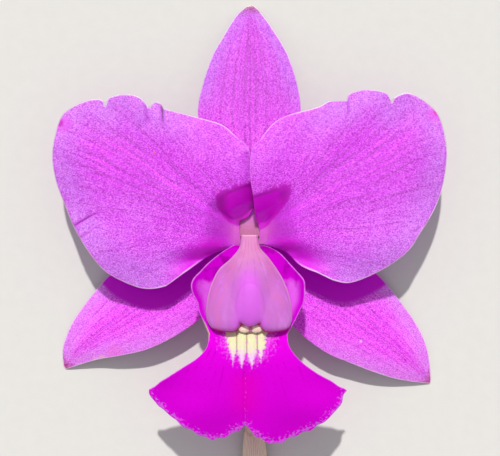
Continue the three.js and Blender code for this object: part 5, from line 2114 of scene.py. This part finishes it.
@dataclass
class Stalk:
    """Ovary with pedicel, the cut stem in line with it, and the bract round their joint."""

    ovary_sides: int = 96
    ovary_rings: int = 260
    rib: float = 0.05
    joint: float = -60.5
    stem_end: float = -86.4
    stem_radius: float = 2.3
    stem_swell: float = 0.5
    stem_sides: int = 72
    stem_rings: int = 120
    cut_slant: float = 0.7
    bract_foot: float = -64.0
    bract_tip: float = -44.0
    bract_wrap: float = 100.0
    bract_thickness: float = 0.6
    bract_edge: float = 0.4
    top: Margin = margin((HUB_Y - HUB_RADIUS, FACE_HEIGHT + OVARY_TOP), (-5.4, 4.85), (-7, 4.6),
                         (-12, 4.8), (-20, 4.7), (-30, 4), (-42, 3.5), (-60.5, 3.6))
    under: Margin = margin((HUB_Y + HUB_RADIUS, FACE_HEIGHT + OVARY_TOP), (2.4, 2.7), (-0.4, 0.7),
                           (-4, -0.1), (-12, -0.15), (-20, -0.15), (-30, -0.15), (-42, -0.15),
                           (-60.5, -0.15))

    def bend(self, y: Array | float) -> Array:
        """Return how far the stalk has strayed to the right at y."""
        return 1.3 * smooth(-np.asarray(y), 12, 58) + 2.4 * smooth(-np.asarray(y), 56, 90)

    def radius(self, y: Array | float) -> Array:
        """Return the stem's radius at y, swollen at the joint."""
        start = self.joint - JOINT_GAP
        return self.stem_radius + self.stem_swell * bump(np.asarray(y) - start + 2.2, 2.2)

    def build(self) -> None:
        """Make the ovary, the stem and the bract, and dress them."""
        self.ovary()
        self.stem()
        self.bract()

    def ovary(self) -> None:
        """Make the ribbed ovary, which narrows to the pedicel."""
        k = np.linspace(0, 1, self.ovary_rings + 1)[:, None]
        top, under = self.top.at(k), self.under.at(k)
        middle, half = (top + under) / 2, (top - under) / 2
        width = mix(HUB_RADIUS, np.hypot(half[..., 0], half[..., 1]), smooth(k, 0, 0.1))
        angle = 2 * np.pi * (np.arange(self.ovary_sides) + 0.5)[None, :] / self.ovary_sides
        rib = 1 + self.rib * np.cos(6 * angle) * smooth(k, 0, 0.1) * (1 - smooth(k, 0.4, 0.7))
        y = middle[..., 0] + half[..., 0] * np.cos(angle) * rib
        z = np.maximum(middle[..., 1] + half[..., 1] * np.cos(angle) * rib, 0)
        x = self.bend(y) + width * np.sin(angle) * rib
        piece = lofted_object("ovary_rind", np.dstack([x, y, z]), (FACE_Y, 0))
        skin = StalkSkin("ovary rind, flushed", flush_share=0.8)
        dress(piece, "ovary", skin.material())

    def stem(self) -> None:
        """Make the cut length of stem."""
        k = np.linspace(0, 1, self.stem_rings + 1)[:, None]
        along = mix(self.joint - JOINT_GAP, self.stem_end, k)
        angle = 2 * np.pi * (np.arange(self.stem_sides) + 0.5)[None, :] / self.stem_sides
        radius = self.radius(along)
        y = along + self.cut_slant * (1 + np.cos(angle)) * smooth(k, 0.9, 1)
        x = self.bend(along) + radius * np.sin(angle)
        z = np.maximum(self.stem_radius - 0.15 + radius * np.cos(angle), 0)
        piece = lofted_object("stem_rind", np.dstack([x, y, z]), (FACE_Y, 0))
        skin = StalkSkin("stem rind, green", flush_share=0.3)
        dress(piece, "flower_stem", skin.material())

    def bract(self) -> None:
        """Make the papery bract, whose point lies along the pedicel."""
        sheet = Sheet(steps(90, 18), steps(70, 9))
        s, t = sheet.places
        y = mix(self.bract_foot, self.bract_tip, s)
        wrap = math.radians(self.bract_wrap) * (1 - 0.97 * s**1.6) ** 0.8
        angle = wrap * (2 * t - 1)
        slim = smooth(s, 0.15, 0.6)
        radius = mix(self.radius(np.minimum(y, self.joint - JOINT_GAP)), 1.87, slim)
        radius = radius + JOINT_GAP + self.bract_thickness / 2
        z = mix(self.stem_radius - 0.15, 1.75, slim) + radius * np.cos(angle)
        x = self.bend(y) + radius * np.sin(angle)
        length = self.bract_tip - self.bract_foot
        edge = np.minimum(np.minimum(s, 1 - s) * length, np.minimum(t, 1 - t) * 2 * wrap * radius)
        piece = blade_object("bract_paper", np.dstack([x, y, z]), sheet, {"edge_mm": edge},
                             self.bract_thickness, self.bract_edge, (FACE_Y, 0))
        paper = BractPaper("bract, dry paper", roughness=0.8, flesh=0.1, shine=0.2)
        dress(piece, "bract", paper.material())


# ---- studio ----


@dataclass
class Studio:
    """A plain pale floor, soft studio light and the camera over the flower's face."""

    camera_height: float = 310.0  # mm above the petals' plane
    camera_x: float = 0.13
    camera_y: float = 2.13
    view_width: float = 133.0  # mm across the picture, in the petals' plane
    sensor: float = 36.0
    key_elevation: float = 51.0
    key_azimuth: float = -4.0
    key_strength: float = 3.0
    key_size: float = 2.0
    fill: float = 0.5
    paper: tuple[str, str] = ("#D4D2CE", "#DAD8D4")
    pulp: Grain = Grain(3, 4)
    roughness: float = 0.9

    def build(self) -> None:
        """Set up floor, lights and camera."""
        self.floor()
        self.lights()
        self.camera()

    def floor(self) -> None:
        """Lay the matt paper floor."""
        mesh = bpy.data.meshes.new("paper_floor")
        half = 1.5
        mesh.from_pydata([(-half, -half, 0), (half, -half, 0), (half, half, 0), (-half, half, 0)],
                         [], [(0, 1, 2, 3)])
        paper = Ground("matt cotton paper")
        pulp = paper.add("TexNoise", self.pulp.on(paper.place))
        tone = paper.coated(self.paper[0], (self.paper[1], pulp))
        mesh.materials.append(paper.dressed({"Roughness": self.roughness}, {"Base Color": tone}))
        linked("paper_floor", mesh)

    def lights(self) -> None:
        """Hang the key light towards the dorsal sepal, and an even soft fill."""
        light = bpy.data.lights.new("key", "SUN")
        light.energy = self.key_strength
        light.angle = math.radians(self.key_size)
        light.color = (1.0, 0.98, 0.95)
        key = linked("key", light)
        azimuth, climb = math.radians(self.key_azimuth), math.radians(self.key_elevation)
        towards = Vector((math.sin(azimuth) * math.cos(climb), math.cos(azimuth) * math.cos(climb),
                          math.sin(climb)))
        key.rotation_mode = "QUATERNION"
        key.rotation_quaternion = towards.to_track_quat("Z", "Y")
        world = bpy.data.worlds.new("studio fill")
        world.use_nodes = True
        world.node_tree.nodes["Background"].inputs["Color"].default_value = (0.95, 0.97, 1.0, 1.0)
        world.node_tree.nodes["Background"].inputs["Strength"].default_value = self.fill
        bpy.context.scene.world = world
        bpy.context.scene.view_settings.view_transform = "Standard"

    def camera(self) -> None:
        """Hang the camera square over the flower's face."""
        data = bpy.data.cameras.new("camera")
        data.sensor_width = self.sensor
        data.lens = self.sensor * self.camera_height / self.view_width
        data.clip_start = 0.01
        camera = linked("camera", data)
        camera.location = (self.camera_x * MM, (self.camera_y + FACE_Y) * MM,
                           (self.camera_height + FACE_HEIGHT) * MM)
        bpy.context.scene.camera = camera


def main() -> None:
    """Build and dress the bloom, then set up the studio."""
    logging.basicConfig(level=logging.INFO, format="%(name)s: %(message)s")
    petals = Petals()
    petals.build()
    Sepals(petals).build()
    lip = Lip()
    lip.build()
    Column(lip).build()
    Stalk().build()
    Studio().build()


if __name__ == "__main__":
    main()
